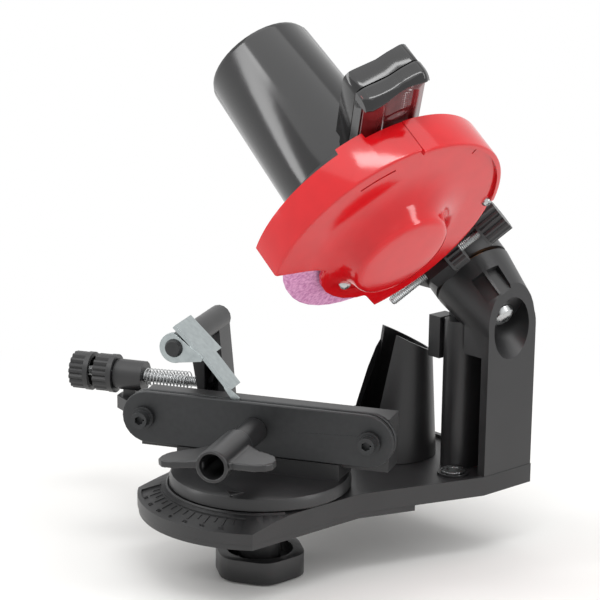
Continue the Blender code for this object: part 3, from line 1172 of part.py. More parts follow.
# Motor: can, stator, bearings and the turning parts
inside_radius = MOTOR_END_RADIUS - MOTOR_WALL
cup_far = MOTOR_END + MOTOR_WALL * 2
cup_near = cup_far + BEARING_THICK
cup_inside = BEARING_RADIUS + GAP
motor_profile = [
    (0, cup_far), (cup_inside, cup_far), (cup_inside, cup_near),
    (cup_inside + BEARING_CUP_WALL, cup_near), (cup_inside + BEARING_CUP_WALL, cup_far),
    (inside_radius, cup_far), (inside_radius, MOTOR_FRONT), (MOTOR_FRONT_RADIUS, MOTOR_FRONT),
    (MOTOR_END_RADIUS, MOTOR_END + MOTOR_CORNER),
    (MOTOR_END_RADIUS - MOTOR_CORNER * 0.3, MOTOR_END + MOTOR_CORNER * 0.3),
    (MOTOR_END_RADIUS - MOTOR_CORNER, MOTOR_END), (0, MOTOR_END)]
turned("motor_housing", motor_profile, spindle_frame, BLACK_GLOSS, FINE_STEPS)
add("stator_core", ring((0, 0, STATOR_FAR), z_axis, inside_radius - GAP, STATOR_BORE_RADIUS,
                        STATOR_NEAR - STATOR_FAR, SMALL_STEPS), spindle_frame, STEEL_DARK)
add("front_bearing", ring((0, 0, ARM_FAR), z_axis, BEARING_RADIUS, ARBOR_RADIUS + GAP, BEARING_THICK,
                          SMALL_STEPS), spindle_frame, STEEL_BRIGHT)
rear_bearing_far = cup_far + GAP
add("rear_bearing", ring((0, 0, rear_bearing_far), z_axis, BEARING_RADIUS, ARBOR_RADIUS + GAP,
                         BEARING_THICK, SMALL_STEPS), spindle_frame, STEEL_BRIGHT)
shaft_far = rear_bearing_far + GAP
shaft = add("arbor_shaft", bar((0, 0, shaft_far), (0, 0, ARBOR_REACH), ARBOR_RADIUS, SMALL_STEPS),
            spindle_frame, STEEL_BRIGHT)
rotor = add("rotor", ring((0, 0, STATOR_FAR), z_axis, ROTOR_RADIUS, ARBOR_RADIUS + GAP,
                          STATOR_NEAR - STATOR_FAR, SMALL_STEPS), spindle_frame, COPPER_WINDING)
fuse(rotor, ring((0, 0, STATOR_NEAR - EDGE), z_axis, COMMUTATOR_RADIUS, ARBOR_RADIUS + GAP,
                 COMMUTATOR_LENGTH, SMALL_STEPS))
half_wheel = WHEEL_THICK / 2
wheel = add("grinding_wheel", ring((0, 0, -half_wheel), z_axis, WHEEL_RADIUS, WHEEL_BORE_RADIUS,
                                   WHEEL_THICK, FINE_STEPS), spindle_frame, CORUNDUM)
soften(wheel, EDGE * 0.8, 1)
inner_far = -half_wheel - GAP - FLANGE_THICK
inner_profile = [
    (ARBOR_RADIUS + GAP, inner_far), (FLANGE_RADIUS, inner_far), (FLANGE_RADIUS, -half_wheel - GAP),
    (WHEEL_BORE_RADIUS - FLANGE_SPIGOT_CLEAR, -half_wheel - GAP),
    (WHEEL_BORE_RADIUS - FLANGE_SPIGOT_CLEAR, half_wheel - GAP), (ARBOR_RADIUS + GAP, half_wheel - GAP)]
add("inner_flange", spun(inner_profile, steps=ROUND_STEPS), spindle_frame, STEEL_BRIGHT)
add("outer_flange", ring((0, 0, half_wheel + GAP), z_axis, FLANGE_RADIUS, ARBOR_RADIUS + GAP,
                         FLANGE_THICK), spindle_frame, STEEL_BRIGHT)
nut_far = half_wheel + FLANGE_THICK + 2 * GAP
nut("arbor_nut", spindle_frame, STEEL_BRIGHT, (0, 0, nut_far), NUT_RADIUS, ARBOR_RADIUS + GAP,
    NUT_THICK)


# Wheel guard: a pan with a rim, open over a sector where the wheel works
def guard_outline(radius, lobe_inset):
    """The guard's outline: a round edge, and a lobe that runs in across the open sector."""
    points = arc((0, 0), radius, GUARD_OPEN_FROM, GUARD_OPEN_TO + math.tau, 40)
    for i in range(9):
        share = i / 8
        angle = GUARD_OPEN_TO + (GUARD_OPEN_FROM - GUARD_OPEN_TO) * (0.14 + 0.78 * share)
        reach_here = LOBE_END_RADIUS + (LOBE_START_RADIUS - LOBE_END_RADIUS) * share - lobe_inset
        points.append((reach_here * math.cos(angle), reach_here * math.sin(angle)))
    return points


cover_back = GUARD_FRONT - COVER_THICK
guard = add("wheel_guard", slab(guard_outline(GUARD_RADIUS, 0), GUARD_BACK, cover_back - GAP),
            spindle_frame, RED_GLOSS)
lip_sweep = GUARD_LIP_TO - GUARD_LIP_FROM
lip_ring = [
    (COVER_INSET_RADIUS + RUNNING_GAP * 4, cover_back - GAP - EDGE), (GUARD_RADIUS, cover_back - GAP - EDGE),
    (GUARD_RADIUS, GUARD_FRONT - EDGE), (GUARD_RADIUS - EDGE, GUARD_FRONT),
    (COVER_INSET_RADIUS + RUNNING_GAP * 4, GUARD_FRONT)]
cut(guard, bar((0, 0, GUARD_BACK + GUARD_WALL), (0, 0, GUARD_FRONT + OVERRUN), GUARD_RADIUS - GUARD_WALL,
               FINE_STEPS))
fuse(guard, spun(lip_ring, GUARD_LIP_FROM, lip_sweep, 16))
cut(guard, bar((0, 0, GUARD_BACK - OVERRUN), (0, 0, GUARD_BACK + GUARD_WALL + OVERRUN),
               ARM_PASSAGE_RADIUS))
cover = add("guard_front_cover", slab(guard_outline(GUARD_RADIUS, 0), cover_back, GUARD_FRONT),
            spindle_frame, RED_GLOSS)
soften(cover, EDGE * 0.9, 1, math.radians(60))
cut(cover, bar((0, 0, cover_back - OVERRUN), (0, 0, GUARD_FRONT + OVERRUN), HUB_RADIUS))
lip_space = [
    (COVER_INSET_RADIUS, cover_back - OVERRUN), (GUARD_RADIUS + OVERRUN, cover_back - OVERRUN),
    (GUARD_RADIUS + OVERRUN, GUARD_FRONT + OVERRUN), (COVER_INSET_RADIUS, GUARD_FRONT + OVERRUN)]
cut(cover, spun(lip_space, GUARD_LIP_FROM - math.radians(1), lip_sweep + math.radians(2), 16))
hub_rise = HUB_FACE - GUARD_FRONT
hub_profile = [
    (0, HUB_FACE), (HUB_RADIUS - EDGE, HUB_FACE), (HUB_RADIUS, HUB_FACE - EDGE),
    (HUB_RADIUS * 1.06, HUB_FACE - hub_rise * 0.30), (HUB_RADIUS * 1.10, HUB_FACE - hub_rise * 0.45),
    (HUB_RADIUS * 1.22, HUB_FACE - hub_rise * 0.53), (HUB_RADIUS * 1.40, HUB_FACE - hub_rise * 0.64),
    (HUB_DOME_RADIUS * 0.92, HUB_FACE - hub_rise * 0.80), (HUB_DOME_RADIUS, GUARD_FRONT),
    (HUB_DOME_RADIUS, cover_back + GAP), (HUB_CAVITY_RADIUS, cover_back + GAP),
    (HUB_CAVITY_RADIUS, cover_back + HUB_CAVITY_DEPTH), (0, cover_back + HUB_CAVITY_DEPTH)]
hub_limit = slab(guard_outline(GUARD_RADIUS, 0), GUARD_BACK, HUB_FACE + OVERRUN)
hub = turned("cover_hub", hub_profile, spindle_frame, None, FINE_STEPS)
keep(hub, hub_limit)
boolean(cover, hub, "UNION")

# Handle: two shells with the rocker switch in the front one
handle_turn = Matrix.Rotation(HANDLE_ANGLE, 4, "Z") @ Matrix.Translation((HANDLE_SHIFT, 0, 0))
half_width = HANDLE_WIDTH / 2


def handle_outline(grow=0.0):
    """The handle seen from the front: a rounded box, waved across its top."""
    points = [(-half_width, HANDLE_LOW), (half_width, HANDLE_LOW)]
    points += arc((half_width - HANDLE_CORNER, HANDLE_TOP - HANDLE_CORNER), HANDLE_CORNER, 0,
                  math.pi / 2, 5)
    points += [(half_width * 0.35, HANDLE_TOP - HANDLE_WAIST * 0.4), (0, HANDLE_TOP - HANDLE_WAIST),
               (-half_width * 0.35, HANDLE_TOP - HANDLE_WAIST)]
    points += arc((-half_width + HANDLE_CORNER, HANDLE_TOP - HANDLE_WAIST - HANDLE_CORNER),
                  HANDLE_CORNER, math.pi / 2, math.pi, 5)
    return points


front_shell = add("handle_front_shell", moved(slab(handle_outline(), HANDLE_SPLIT + GAP, HANDLE_FACE),
                                              handle_turn), spindle_frame, BLACK_GLOSS)
soften(front_shell, SOFT_EDGE, 2, math.radians(60))
rocker_half = ROCKER_WIDTH / 2
well_floor = HANDLE_SPLIT + ROCKER_FLOOR
well = block((-half_width - OVERRUN, ROCKER_LOW - ROCKER_PLAY, well_floor),
             (half_width + OVERRUN, ROCKER_TOP + ROCKER_PLAY, HANDLE_FACE + OVERRUN))
cut(front_shell, moved(well, handle_turn))
rear_shell = add("handle_rear_shell", moved(slab(handle_outline(), HANDLE_BACK, HANDLE_SPLIT),
                                            handle_turn), spindle_frame, BLACK_GLOSS)
neck_low = ARM_MOTOR_RADIUS + GAP
neck = block((-half_width + NECK_MARGIN, NECK_START, HANDLE_BACK + EDGE),
             (NECK_REACH, HANDLE_LOW + 2 * SOFT_EDGE, HANDLE_SPLIT - EDGE))
fuse(rear_shell, moved(neck, handle_turn))
cut(rear_shell, bar((0, 0, ARM_FAR - GAP), (0, 0, ARM_NEAR + OVERRUN), neck_low, FINE_STEPS))
cut(rear_shell, cone((0, 0, MOTOR_END), (0, 0, ARM_FAR), MOTOR_END_RADIUS + RUNNING_GAP,
                     MOTOR_FRONT_RADIUS + RUNNING_GAP, FINE_STEPS))
soften(rear_shell, SOFT_EDGE, 2, math.radians(60))
rocker_back = ROCKER_FACE - ROCKER_DEPTH
rocker = add("switch_rocker", moved(block((-rocker_half, ROCKER_LOW, rocker_back),
                                          (rocker_half, ROCKER_TOP, ROCKER_FACE)), handle_turn),
             spindle_frame, DARK_RED)
soften(rocker, ROCKER_BEVEL, 2)
rocker_middle = (ROCKER_LOW + ROCKER_TOP) / 2
rocker_axis = well_floor + ROCKER_PIVOT_RISE
fuse(rocker, moved(bar((-rocker_half + SOFT_EDGE, rocker_middle, rocker_axis),
                       (rocker_half - SOFT_EDGE, rocker_middle, rocker_axis),
                       ROCKER_PIVOT_RISE - GAP, SMALL_STEPS), handle_turn))

# Depth screw with its knob and lock ring
rod_end = rod_start + along * DEPTH_ROD_LENGTH
add("depth_rod", bar(rod_start, rod_end, DEPTH_ROD_RADIUS, SMALL_STEPS), spindle_frame, STEEL_BRIGHT)
lock_start = rod_start + along * (DEPTH_LUG_START + DEPTH_LUG_LENGTH + GAP)
knurled_knob("depth_lock_ring", spindle_frame, BLACK_SATIN, lock_start, along, DEPTH_LOCK_RADIUS,
             DEPTH_LOCK_LENGTH, DEPTH_ROD_BORE_RADIUS, DEPTH_LOCK_RADIUS + KNOB_FLUTE_DEPTH / 2,
             KNOB_FLANGE / 2, False)
knob_start = rod_start + along * DEPTH_KNOB_START
depth_knob = knurled_knob("depth_knob", spindle_frame, BLACK_SATIN, knob_start, along,
                          DEPTH_KNOB_RADIUS, DEPTH_KNOB_LENGTH, None,
                          DEPTH_KNOB_RADIUS + KNOB_FLUTE_DEPTH / 2, KNOB_FLANGE / 2, False)
cut(depth_knob, bar(knob_start - along * OVERRUN, rod_end + along * GAP, DEPTH_ROD_RADIUS + GAP,
                    SMALL_STEPS))
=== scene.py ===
# %% [markdown]
# # An electric saw chain sharpener
#
# A motor head with a thin grinding wheel hangs on a slanted hinge above a small vise that turns on
# an angle scale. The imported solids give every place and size, so this lesson only dresses them:
# it builds the surfaces that the eye looks for, such as threads, ribs, mouldings and moulded ticks,
# and gives each surface its finish.

# %% Load the frame
import json
import math

import bmesh
import bpy
from mathutils import Matrix, Vector


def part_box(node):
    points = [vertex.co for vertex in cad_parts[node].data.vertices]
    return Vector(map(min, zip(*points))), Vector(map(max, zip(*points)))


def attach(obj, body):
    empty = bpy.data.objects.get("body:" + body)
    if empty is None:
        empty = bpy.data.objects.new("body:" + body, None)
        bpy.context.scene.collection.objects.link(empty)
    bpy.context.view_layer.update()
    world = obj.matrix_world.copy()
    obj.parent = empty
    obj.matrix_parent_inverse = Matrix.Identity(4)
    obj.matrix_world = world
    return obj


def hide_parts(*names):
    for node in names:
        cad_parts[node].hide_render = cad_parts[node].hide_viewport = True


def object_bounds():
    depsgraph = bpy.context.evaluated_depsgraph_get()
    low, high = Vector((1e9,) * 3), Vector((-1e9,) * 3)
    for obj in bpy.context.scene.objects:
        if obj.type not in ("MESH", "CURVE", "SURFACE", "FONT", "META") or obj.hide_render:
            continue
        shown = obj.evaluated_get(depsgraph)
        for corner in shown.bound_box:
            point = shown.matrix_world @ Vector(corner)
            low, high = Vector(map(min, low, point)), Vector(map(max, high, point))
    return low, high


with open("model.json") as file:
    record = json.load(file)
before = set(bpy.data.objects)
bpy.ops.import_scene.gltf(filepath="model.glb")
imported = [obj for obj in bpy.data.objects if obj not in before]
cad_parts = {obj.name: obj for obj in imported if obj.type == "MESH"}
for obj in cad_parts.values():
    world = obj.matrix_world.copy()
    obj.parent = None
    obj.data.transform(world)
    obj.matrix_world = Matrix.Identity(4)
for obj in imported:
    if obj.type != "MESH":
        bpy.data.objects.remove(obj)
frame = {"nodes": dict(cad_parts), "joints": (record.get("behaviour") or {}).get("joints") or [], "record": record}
nodes = frame["nodes"]
cad_low, cad_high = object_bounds()
MM = 0.001
print("loaded", len(nodes), "solids,", "box in mm", [round(v / MM) for v in (cad_high - cad_low)])

# %% [markdown]
# ## Frames of the tool
#
# The pieces are easiest to draw in their own axes: the base with its turntable at the origin, the
# vise turned on the turntable, and the spindle with the wheel's plane as XY. Each frame is one
# matrix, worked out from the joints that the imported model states, so a piece can't drift from
# the solid that it belongs to.

# %% Work out the three frames
joints = {joint["name"]: joint for joint in frame["joints"]}
table_pivot = Vector(joints["turntable_swivel"]["pos_m"])
across_vise = Vector(joints["stop_slide"]["axis"]).normalized()
toward_user = Vector(joints["front_jaw_slide"]["axis"]).normalized()
spindle_centre = Vector(joints["wheel_spin"]["pos_m"])
spindle_out = Vector(joints["wheel_spin"]["axis"]).normalized()
REARWARD = Vector((0, 1, 0))
UPWARD = Vector((0, 0, 1))


def axes(origin, x_axis, y_axis, z_axis):
    """A matrix from three axes and an origin."""
    matrix = Matrix((x_axis, y_axis, z_axis)).transposed().to_4x4()
    matrix.translation = origin
    return matrix


base_frame = Matrix.Translation(table_pivot)
vise_frame = axes(table_pivot, across_vise, -toward_user, UPWARD)
spindle_frame = axes(spindle_centre, REARWARD, spindle_out.cross(REARWARD), spindle_out)
print("vise turned by", round(math.degrees(math.atan2(across_vise.y, across_vise.x)), 1), "degrees")

# %% [markdown]
# ## Camera
#
# The picture was taken from the front right corner with a long lens. The camera stands at the
# same angle and distance, and the lens follows from the size of the object in the frame.
# The aim is given as the pixel where the turntable's centre shows in a 600 pixel frame.

# %% Set up the camera
IMAGE_SIDE_PX = 600
VIEW_AZIMUTH = math.radians(48.05)
VIEW_ELEVATION = math.radians(14.42)
VIEW_ROLL = math.radians(0.77)
VIEW_DISTANCE = 1.100
FOCAL_PX = 2178
TABLE_CENTRE_PX = (260.34, 482.95)
SENSOR_MM = 36
NEAREST_M, FURTHEST_M = 0.05, 20


def camera_axes(azimuth, elevation, roll):
    """The camera's right, up and back directions."""
    back = Vector((math.sin(azimuth) * math.cos(elevation), -math.cos(azimuth) * math.cos(elevation),
                   math.sin(elevation)))
    right = Vector((math.cos(azimuth), math.sin(azimuth), 0))
    up = back.cross(right)
    turned_right = right * math.cos(roll) + up * math.sin(roll)
    turned_up = up * math.cos(roll) - right * math.sin(roll)
    return turned_right, turned_up, back


view_right, view_up, view_back = camera_axes(VIEW_AZIMUTH, VIEW_ELEVATION, VIEW_ROLL)
aside = (TABLE_CENTRE_PX[0] - IMAGE_SIDE_PX / 2) / FOCAL_PX * VIEW_DISTANCE
above = -(TABLE_CENTRE_PX[1] - IMAGE_SIDE_PX / 2) / FOCAL_PX * VIEW_DISTANCE
eye = table_pivot + view_back * VIEW_DISTANCE - view_right * aside - view_up * above
camera_data = bpy.data.cameras.new("camera")
camera_data.sensor_width = SENSOR_MM
camera_data.lens = FOCAL_PX / IMAGE_SIDE_PX * SENSOR_MM
camera_data.clip_start = NEAREST_M
camera_data.clip_end = FURTHEST_M
camera = bpy.data.objects.new("camera", camera_data)
camera.matrix_world = axes(eye, view_right, view_up, view_back)
bpy.context.scene.collection.objects.link(camera)
bpy.context.scene.camera = camera
print("lens", round(camera_data.lens, 1), "mm at", VIEW_DISTANCE, "m")

# %% [markdown]
# ## Helpers for finishes
#
# Every colour is an sRGB hex value, as a paint chart would give it, and one function turns it to
# the linear values that the renderer works in. Another adds a node with its settings and links,
# so a material reads as a list of what feeds what.

# %% Colour and node helpers


def srgb(code):
    """A hex colour as linear RGBA. The numbers are those of the sRGB curve."""
    channels = [int(code[i:i + 2], 16) / 255 for i in (1, 3, 5)]
    linear = [c / 12.92 if c <= 0.04045 else ((c + 0.055) / 1.055) ** 2.4 for c in channels]
    return (*linear, 1.0)


def add_node(tree, kind, settings=None, feeds=None, **inputs):
    """Adds a node: its own settings, the output and socket that it feeds, and a value or socket
    for each input, which is named, or numbered as in in_0."""
    node = tree.nodes.new(kind)
    for key, value in (settings or {}).items():
        setattr(node, key, value)
    for key, value in inputs.items():
        socket = node.inputs[int(key[3:]) if key.startswith("in_") else key.replace("_", " ")]
        if isinstance(value, bpy.types.NodeSocket):
            tree.links.new(value, socket)
        else:
            socket.default_value = value
    if feeds:
        tree.links.new(node.outputs[feeds[0]], feeds[1])
    return node


def new_finish(name, colour, roughness, metallic=0.0, ior=None):
    """A material with plain shader values, ready for its pattern."""
    material = bpy.data.materials.new(name)
    material.use_nodes = True
    shader = material.node_tree.nodes["Principled BSDF"]
    shader.inputs["Base Color"].default_value = srgb(colour)
    shader.inputs["Roughness"].default_value = roughness
    shader.inputs["Metallic"].default_value = metallic
    if ior:
        shader.inputs["IOR"].default_value = ior
    material.diffuse_color = srgb(colour)
    return material, material.node_tree, shader


def per_size(size_mm):
    """The noise scale that gives one spot per this many millimetres."""
    return 1 / (size_mm * MM)


RGBA = {"data_type": "RGBA"}
print("helpers ready")

# %% [markdown]
# ## Satin black moulding
#
# The base, the turntable and the knobs are injection moulded glass-filled nylon. Short glass
# fibres near the skin make it satin rather than glossy, and the tool's steel leaves a fine grain.
# The grain is about a quarter of a millimetre, drawn at half a millimetre so that it shows.

# %% Glass-filled nylon
NYLON_IOR = 1.53
NYLON_GRAIN_MM = 0.5
NYLON_GRAIN_DEPTH_MM = 0.02
NYLON_CLOUD_MM = 14
NYLON_SMOOTHER, NYLON_ROUGHER = 0.05, 0.07


def glass_filled_nylon(name, dark, light, roughness):
    """Black nylon, cloudy in tone and gloss, with a fine grain."""
    material, tree, shader = new_finish(name, dark, roughness, ior=NYLON_IOR)
    place = add_node(tree, "ShaderNodeTexCoord").outputs["Object"]
    cloud = add_node(tree, "ShaderNodeTexNoise", Vector=place, Scale=per_size(NYLON_CLOUD_MM), Detail=3.0)
    grain = add_node(tree, "ShaderNodeTexNoise", Vector=place, Scale=per_size(NYLON_GRAIN_MM), Detail=2.0)
    add_node(tree, "ShaderNodeMix", RGBA, ("Result", shader.inputs["Base Color"]),
             Factor=cloud.outputs["Fac"], A=srgb(dark), B=srgb(light))
    add_node(tree, "ShaderNodeMapRange", None, ("Result", shader.inputs["Roughness"]),
             Value=cloud.outputs["Fac"], To_Min=roughness - NYLON_SMOOTHER, To_Max=roughness + NYLON_ROUGHER)
    add_node(tree, "ShaderNodeBump", None, ("Normal", shader.inputs["Normal"]),
             Height=grain.outputs["Fac"], Strength=0.5, Distance=NYLON_GRAIN_DEPTH_MM * MM)
    return material


satin_black_nylon = glass_filled_nylon("satin_black_nylon", "#1c1c1d", "#262627", 0.38)
knob_black_nylon = glass_filled_nylon("knob_black_nylon", "#1a1a1b", "#242425", 0.34)
print("nylon:", satin_black_nylon.name, knob_black_nylon.name)

# %% [markdown]
# ## Glossy mouldings
#
# The motor can, the handle and the red guard are moulded in ABS against polished steel. Their
# surface mirrors the lamps in long soft bands, broken only by a faint waviness that comes from
# cooling. A wave is several millimetres long, and a little deeper here than a real one, so that
# it shows in the bands.

# %% Polished ABS
ABS_IOR = 1.54
WAVE_MM = 9
WAVE_DEPTH_MM = 0.05


def polished_abs(name, colour, deep, roughness):
    """Glossy ABS with a faint wave in its tone and surface."""
    material, tree, shader = new_finish(name, colour, roughness, ior=ABS_IOR)
    place = add_node(tree, "ShaderNodeTexCoord").outputs["Object"]
    wave = add_node(tree, "ShaderNodeTexNoise", Vector=place, Scale=per_size(WAVE_MM), Detail=1.0)
    add_node(tree, "ShaderNodeMix", RGBA, ("Result", shader.inputs["Base Color"]),
             Factor=wave.outputs["Fac"], A=srgb(deep), B=srgb(colour))
    add_node(tree, "ShaderNodeBump", None, ("Normal", shader.inputs["Normal"]),
             Height=wave.outputs["Fac"], Strength=0.35, Distance=WAVE_DEPTH_MM * MM)
    return material


gloss_black_abs = polished_abs("gloss_black_abs", "#161617", "#121213", 0.14)
gloss_red_abs = polished_abs("gloss_red_abs", "#cf0f18", "#c00c14", 0.12)
print("ABS:", gloss_black_abs.name, gloss_red_abs.name)

# %% [markdown]
# ## Metals
#
# Three steels show here. The jaw plates and screws are phosphated, which is dark, dry and faintly
# mottled. The stop is pressed from zinc-plated sheet, pale with a soft spangle. Rods, nuts and
# springs are bright plated steel. The ring in the hinge is plain bronze, and the winding inside
# the motor is lacquered copper. All share one recipe: a mottle in tone and gloss, and a fine
# grain left by rolling or turning.

# %% Plated and phosphated steel
MOTTLE_MM = 3
METAL_GRAIN_MM = 0.35
METAL_GRAIN_DEPTH_MM = 0.01
METAL_SMOOTHER, METAL_ROUGHER = 0.06, 0.08


def metal(name, dark, light, roughness, metallic=1.0):
    """A metal, mottled in tone and gloss, with a fine grain."""
    material, tree, shader = new_finish(name, light, roughness, metallic)
    place = add_node(tree, "ShaderNodeTexCoord").outputs["Object"]
    mottle = add_node(tree, "ShaderNodeTexNoise", Vector=place, Scale=per_size(MOTTLE_MM), Detail=4.0)
    grain = add_node(tree, "ShaderNodeTexNoise", Vector=place, Scale=per_size(METAL_GRAIN_MM), Detail=2.0)
    add_node(tree, "ShaderNodeMix", RGBA, ("Result", shader.inputs["Base Color"]),
             Factor=mottle.outputs["Fac"], A=srgb(dark), B=srgb(light))
    add_node(tree, "ShaderNodeMapRange", None, ("Result", shader.inputs["Roughness"]),
             Value=mottle.outputs["Fac"], To_Min=roughness - METAL_SMOOTHER,
             To_Max=roughness + METAL_ROUGHER)
    add_node(tree, "ShaderNodeBump", None, ("Normal", shader.inputs["Normal"]),
             Height=grain.outputs["Fac"], Strength=0.5, Distance=METAL_GRAIN_DEPTH_MM * MM)
    return material


phosphated_steel = metal("phosphated_steel", "#2d2e2f", "#3a3b3c", 0.42, 0.5)
bright_plated_steel = metal("bright_plated_steel", "#a9abac", "#c9cbcb", 0.27)
zinc_plated_sheet = metal("zinc_plated_sheet", "#939a9c", "#bcc4c4", 0.33)
plain_bronze = metal("plain_bronze", "#8a5a32", "#b07a4a", 0.35)
lacquered_copper = metal("lacquered_copper", "#8a4524", "#b9683c", 0.40)
print("metals:", phosphated_steel.name, bright_plated_steel.name, zinc_plated_sheet.name)

# %% [markdown]
# ## Pink corundum
#
# The wheel is pink fused alumina grit in a baked clay bond: dry, pitted and quite rough. The grit
# of such a wheel is about 0.25 mm, drawn at 0.5 mm so that the speckle shows from a step away.

# %% Bonded grit
GRIT_MM = 0.5
GRIT_DEPTH_MM = 0.10
GRITS_PER_SPECK = 3
SPECK_FROM, SPECK_TO = 0.35, 0.65
pink_corundum, tree, shader = new_finish("pink_corundum", "#c987b4", 0.92)
place = add_node(tree, "ShaderNodeTexCoord").outputs["Object"]
grit = add_node(tree, "ShaderNodeTexVoronoi", Vector=place, Scale=per_size(GRIT_MM))
dust = add_node(tree, "ShaderNodeTexNoise", Vector=place, Scale=per_size(GRIT_MM * GRITS_PER_SPECK),
                Detail=4.0)
speckle = add_node(tree, "ShaderNodeMapRange", Value=dust.outputs["Fac"], From_Min=SPECK_FROM,
                   From_Max=SPECK_TO)
add_node(tree, "ShaderNodeMix", RGBA, ("Result", shader.inputs["Base Color"]),
         Factor=speckle.outputs["Result"], A=srgb("#b471a0"), B=srgb("#dba3c8"))
add_node(tree, "ShaderNodeBump", None, ("Normal", shader.inputs["Normal"]),
         Height=grit.outputs["Distance"], Strength=0.5, Distance=GRIT_DEPTH_MM * MM)
print("grit drawn at", GRIT_MM, "mm")

# %% [markdown]
# ## Dark red rocker
#
# The rocker is clear red polycarbonate over a dark switch body, so it looks nearly black with a
# deep red inside and sharp highlights on its ribs. What lies behind the clear skin is drawn as a
# cloud of two dark reds, and the skin itself as a thin coat.

# %% Tinted polycarbonate
POLYCARBONATE_IOR = 1.58
DARK_CLOUD_MM = 6
CLEAR_SKIN = 0.3
tinted_red_polycarbonate, tree, shader = new_finish("tinted_red_polycarbonate", "#5c1a1e", 0.16,
                                                    ior=POLYCARBONATE_IOR)
place = add_node(tree, "ShaderNodeTexCoord").outputs["Object"]
depth = add_node(tree, "ShaderNodeTexNoise", Vector=place, Scale=per_size(DARK_CLOUD_MM), Detail=2.0)
add_node(tree, "ShaderNodeMix", RGBA, ("Result", shader.inputs["Base Color"]),
         Factor=depth.outputs["Fac"], A=srgb("#4c1417"), B=srgb("#702a2c"))
shader.inputs["Coat Weight"].default_value = CLEAR_SKIN
print("rocker finish ready")

# %% [markdown]
# ## Dressing the solids
#
# Where a solid already has the right shape it stays, and only gets its finish, soft shading and a
# small radius on its edges. Moulded and pressed parts never have knife edges, and it is that thin
# bright line along each edge that makes them look made. The radius is widest on mouldings.

# %% Give each solid its finish
EDGE_ANGLE = math.radians(32)
EDGE_SEGMENTS = 2
WELD_MM = 0.005
finishes = {
    "black_plastic": (satin_black_nylon, 0.6),
    "black_gloss_plastic": (gloss_black_abs, 0.5),
    "red_plastic": (gloss_red_abs, 0.5),
    "dark_red_plastic": (tinted_red_polycarbonate, 0.4),
    "dark_steel": (phosphated_steel, 0.25),
    "bright_steel": (bright_plated_steel, 0.15),
    "zinc_sheet": (zinc_plated_sheet, 0.2),
    "bronze": (plain_bronze, 0.15),
    "copper_winding": (lacquered_copper, 0.2),
    "pink_corundum": (pink_corundum, 0.4),
}


def round_edges(piece, radius_mm):
    """A small radius on every edge sharper than the edge angle."""
    weld = piece.modifiers.new("weld", "WELD")
    weld.merge_threshold = WELD_MM * MM
    bevel = piece.modifiers.new("edge radius", "BEVEL")
    bevel.width = radius_mm * MM
    bevel.segments = EDGE_SEGMENTS
    bevel.limit_method = "ANGLE"
    bevel.angle_limit = EDGE_ANGLE
    bevel.harden_normals = True


def dress(name, finish, radius_mm):
    """Puts a finish on a solid and softens its shading and edges."""
    solid = nodes[name]
    solid.data.materials.clear()
    solid.data.materials.append(finish)
    if "custom_normal" in solid.data.attributes:
        solid.data.attributes.remove(solid.data.attributes["custom_normal"])
    solid.data.shade_smooth()
    round_edges(solid, radius_mm)


for entry in frame["record"]["subparts"]:
    dress(entry["node"], *finishes[entry["material_slot"]])
print("dressed", len(nodes), "solids in", len(finishes), "finishes")

# %% [markdown]
# ## From points to pieces
#
# Moulded and turned pieces are easiest to write as rows of points: a profile turned about an axis,
# or a surface that is measured row by row. One helper makes a piece from points in millimetres,
# places it with a frame and lets it ride on its body, and another names the quads between rows.

# %% Helpers for pieces
NEAR_AXIS_MM = 0.01  # a ring this small closes a turned piece


def new_piece(name, points, faces, finish, body, place, sharp_degrees=38):
    """A piece from points in millimetres in a frame, which rides on a body."""
    mesh = bpy.data.meshes.new(name)
    mesh.from_pydata([place @ (Vector(point) * MM) for point in points], [], faces)
    mesh.materials.append(finish)
    work = bmesh.new()
    work.from_mesh(mesh)
    bmesh.ops.remove_doubles(work, verts=work.verts, dist=WELD_MM * MM)
    bmesh.ops.recalc_face_normals(work, faces=work.faces)
    work.to_mesh(mesh)
    work.free()
    mesh.shade_smooth()
    mesh.set_sharp_from_angle(angle=math.radians(sharp_degrees))
    piece = bpy.data.objects.new(name, mesh)
    bpy.context.scene.collection.objects.link(piece)
    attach(piece, body)
    return piece


def row_faces(rows, columns, closed=True):
    """Quads between rows of points; closed joins the last column to the first."""
    span = columns if closed else columns - 1
    return [(r * columns + c, r * columns + (c + 1) % columns, (r + 1) * columns + (c + 1) % columns,
             (r + 1) * columns + c) for r in range(rows - 1) for c in range(span)]


def ring(radius, steps):
    """Points round a circle."""
    return [(radius * math.cos(math.tau * s / steps), radius * math.sin(math.tau * s / steps))
            for s in range(steps)]


def polar(radius, degrees):
    """A point at a distance and bearing."""
    angle = math.radians(degrees)
    return radius * math.cos(angle), radius * math.sin(angle)


def turned(name, profile, finish, body, place, steps):
    """A profile of radius and height, turned about Z."""
    points = [(x, y, height) for radius, height in profile for x, y in ring(radius, steps)]
    return new_piece(name, points, row_faces(len(profile), steps), finish, body, place)


print("piece helpers ready")

# %% [markdown]
# Raised ticks and lines are small bars with slanted sides, as a moulded bar needs to leave its
# mould. They can lie on flat ground, or on a cone that falls away from the axis.

# %% Helper for raised bars
BAR_DRAFT_MM = 0.12
BAR_TOP_LEAST_MM = 0.05
BAR_FACES = ((3, 2, 1, 0), (4, 5, 6, 7), (0, 1, 5, 4), (1, 2, 6, 5), (2, 3, 7, 6), (3, 0, 4, 7))


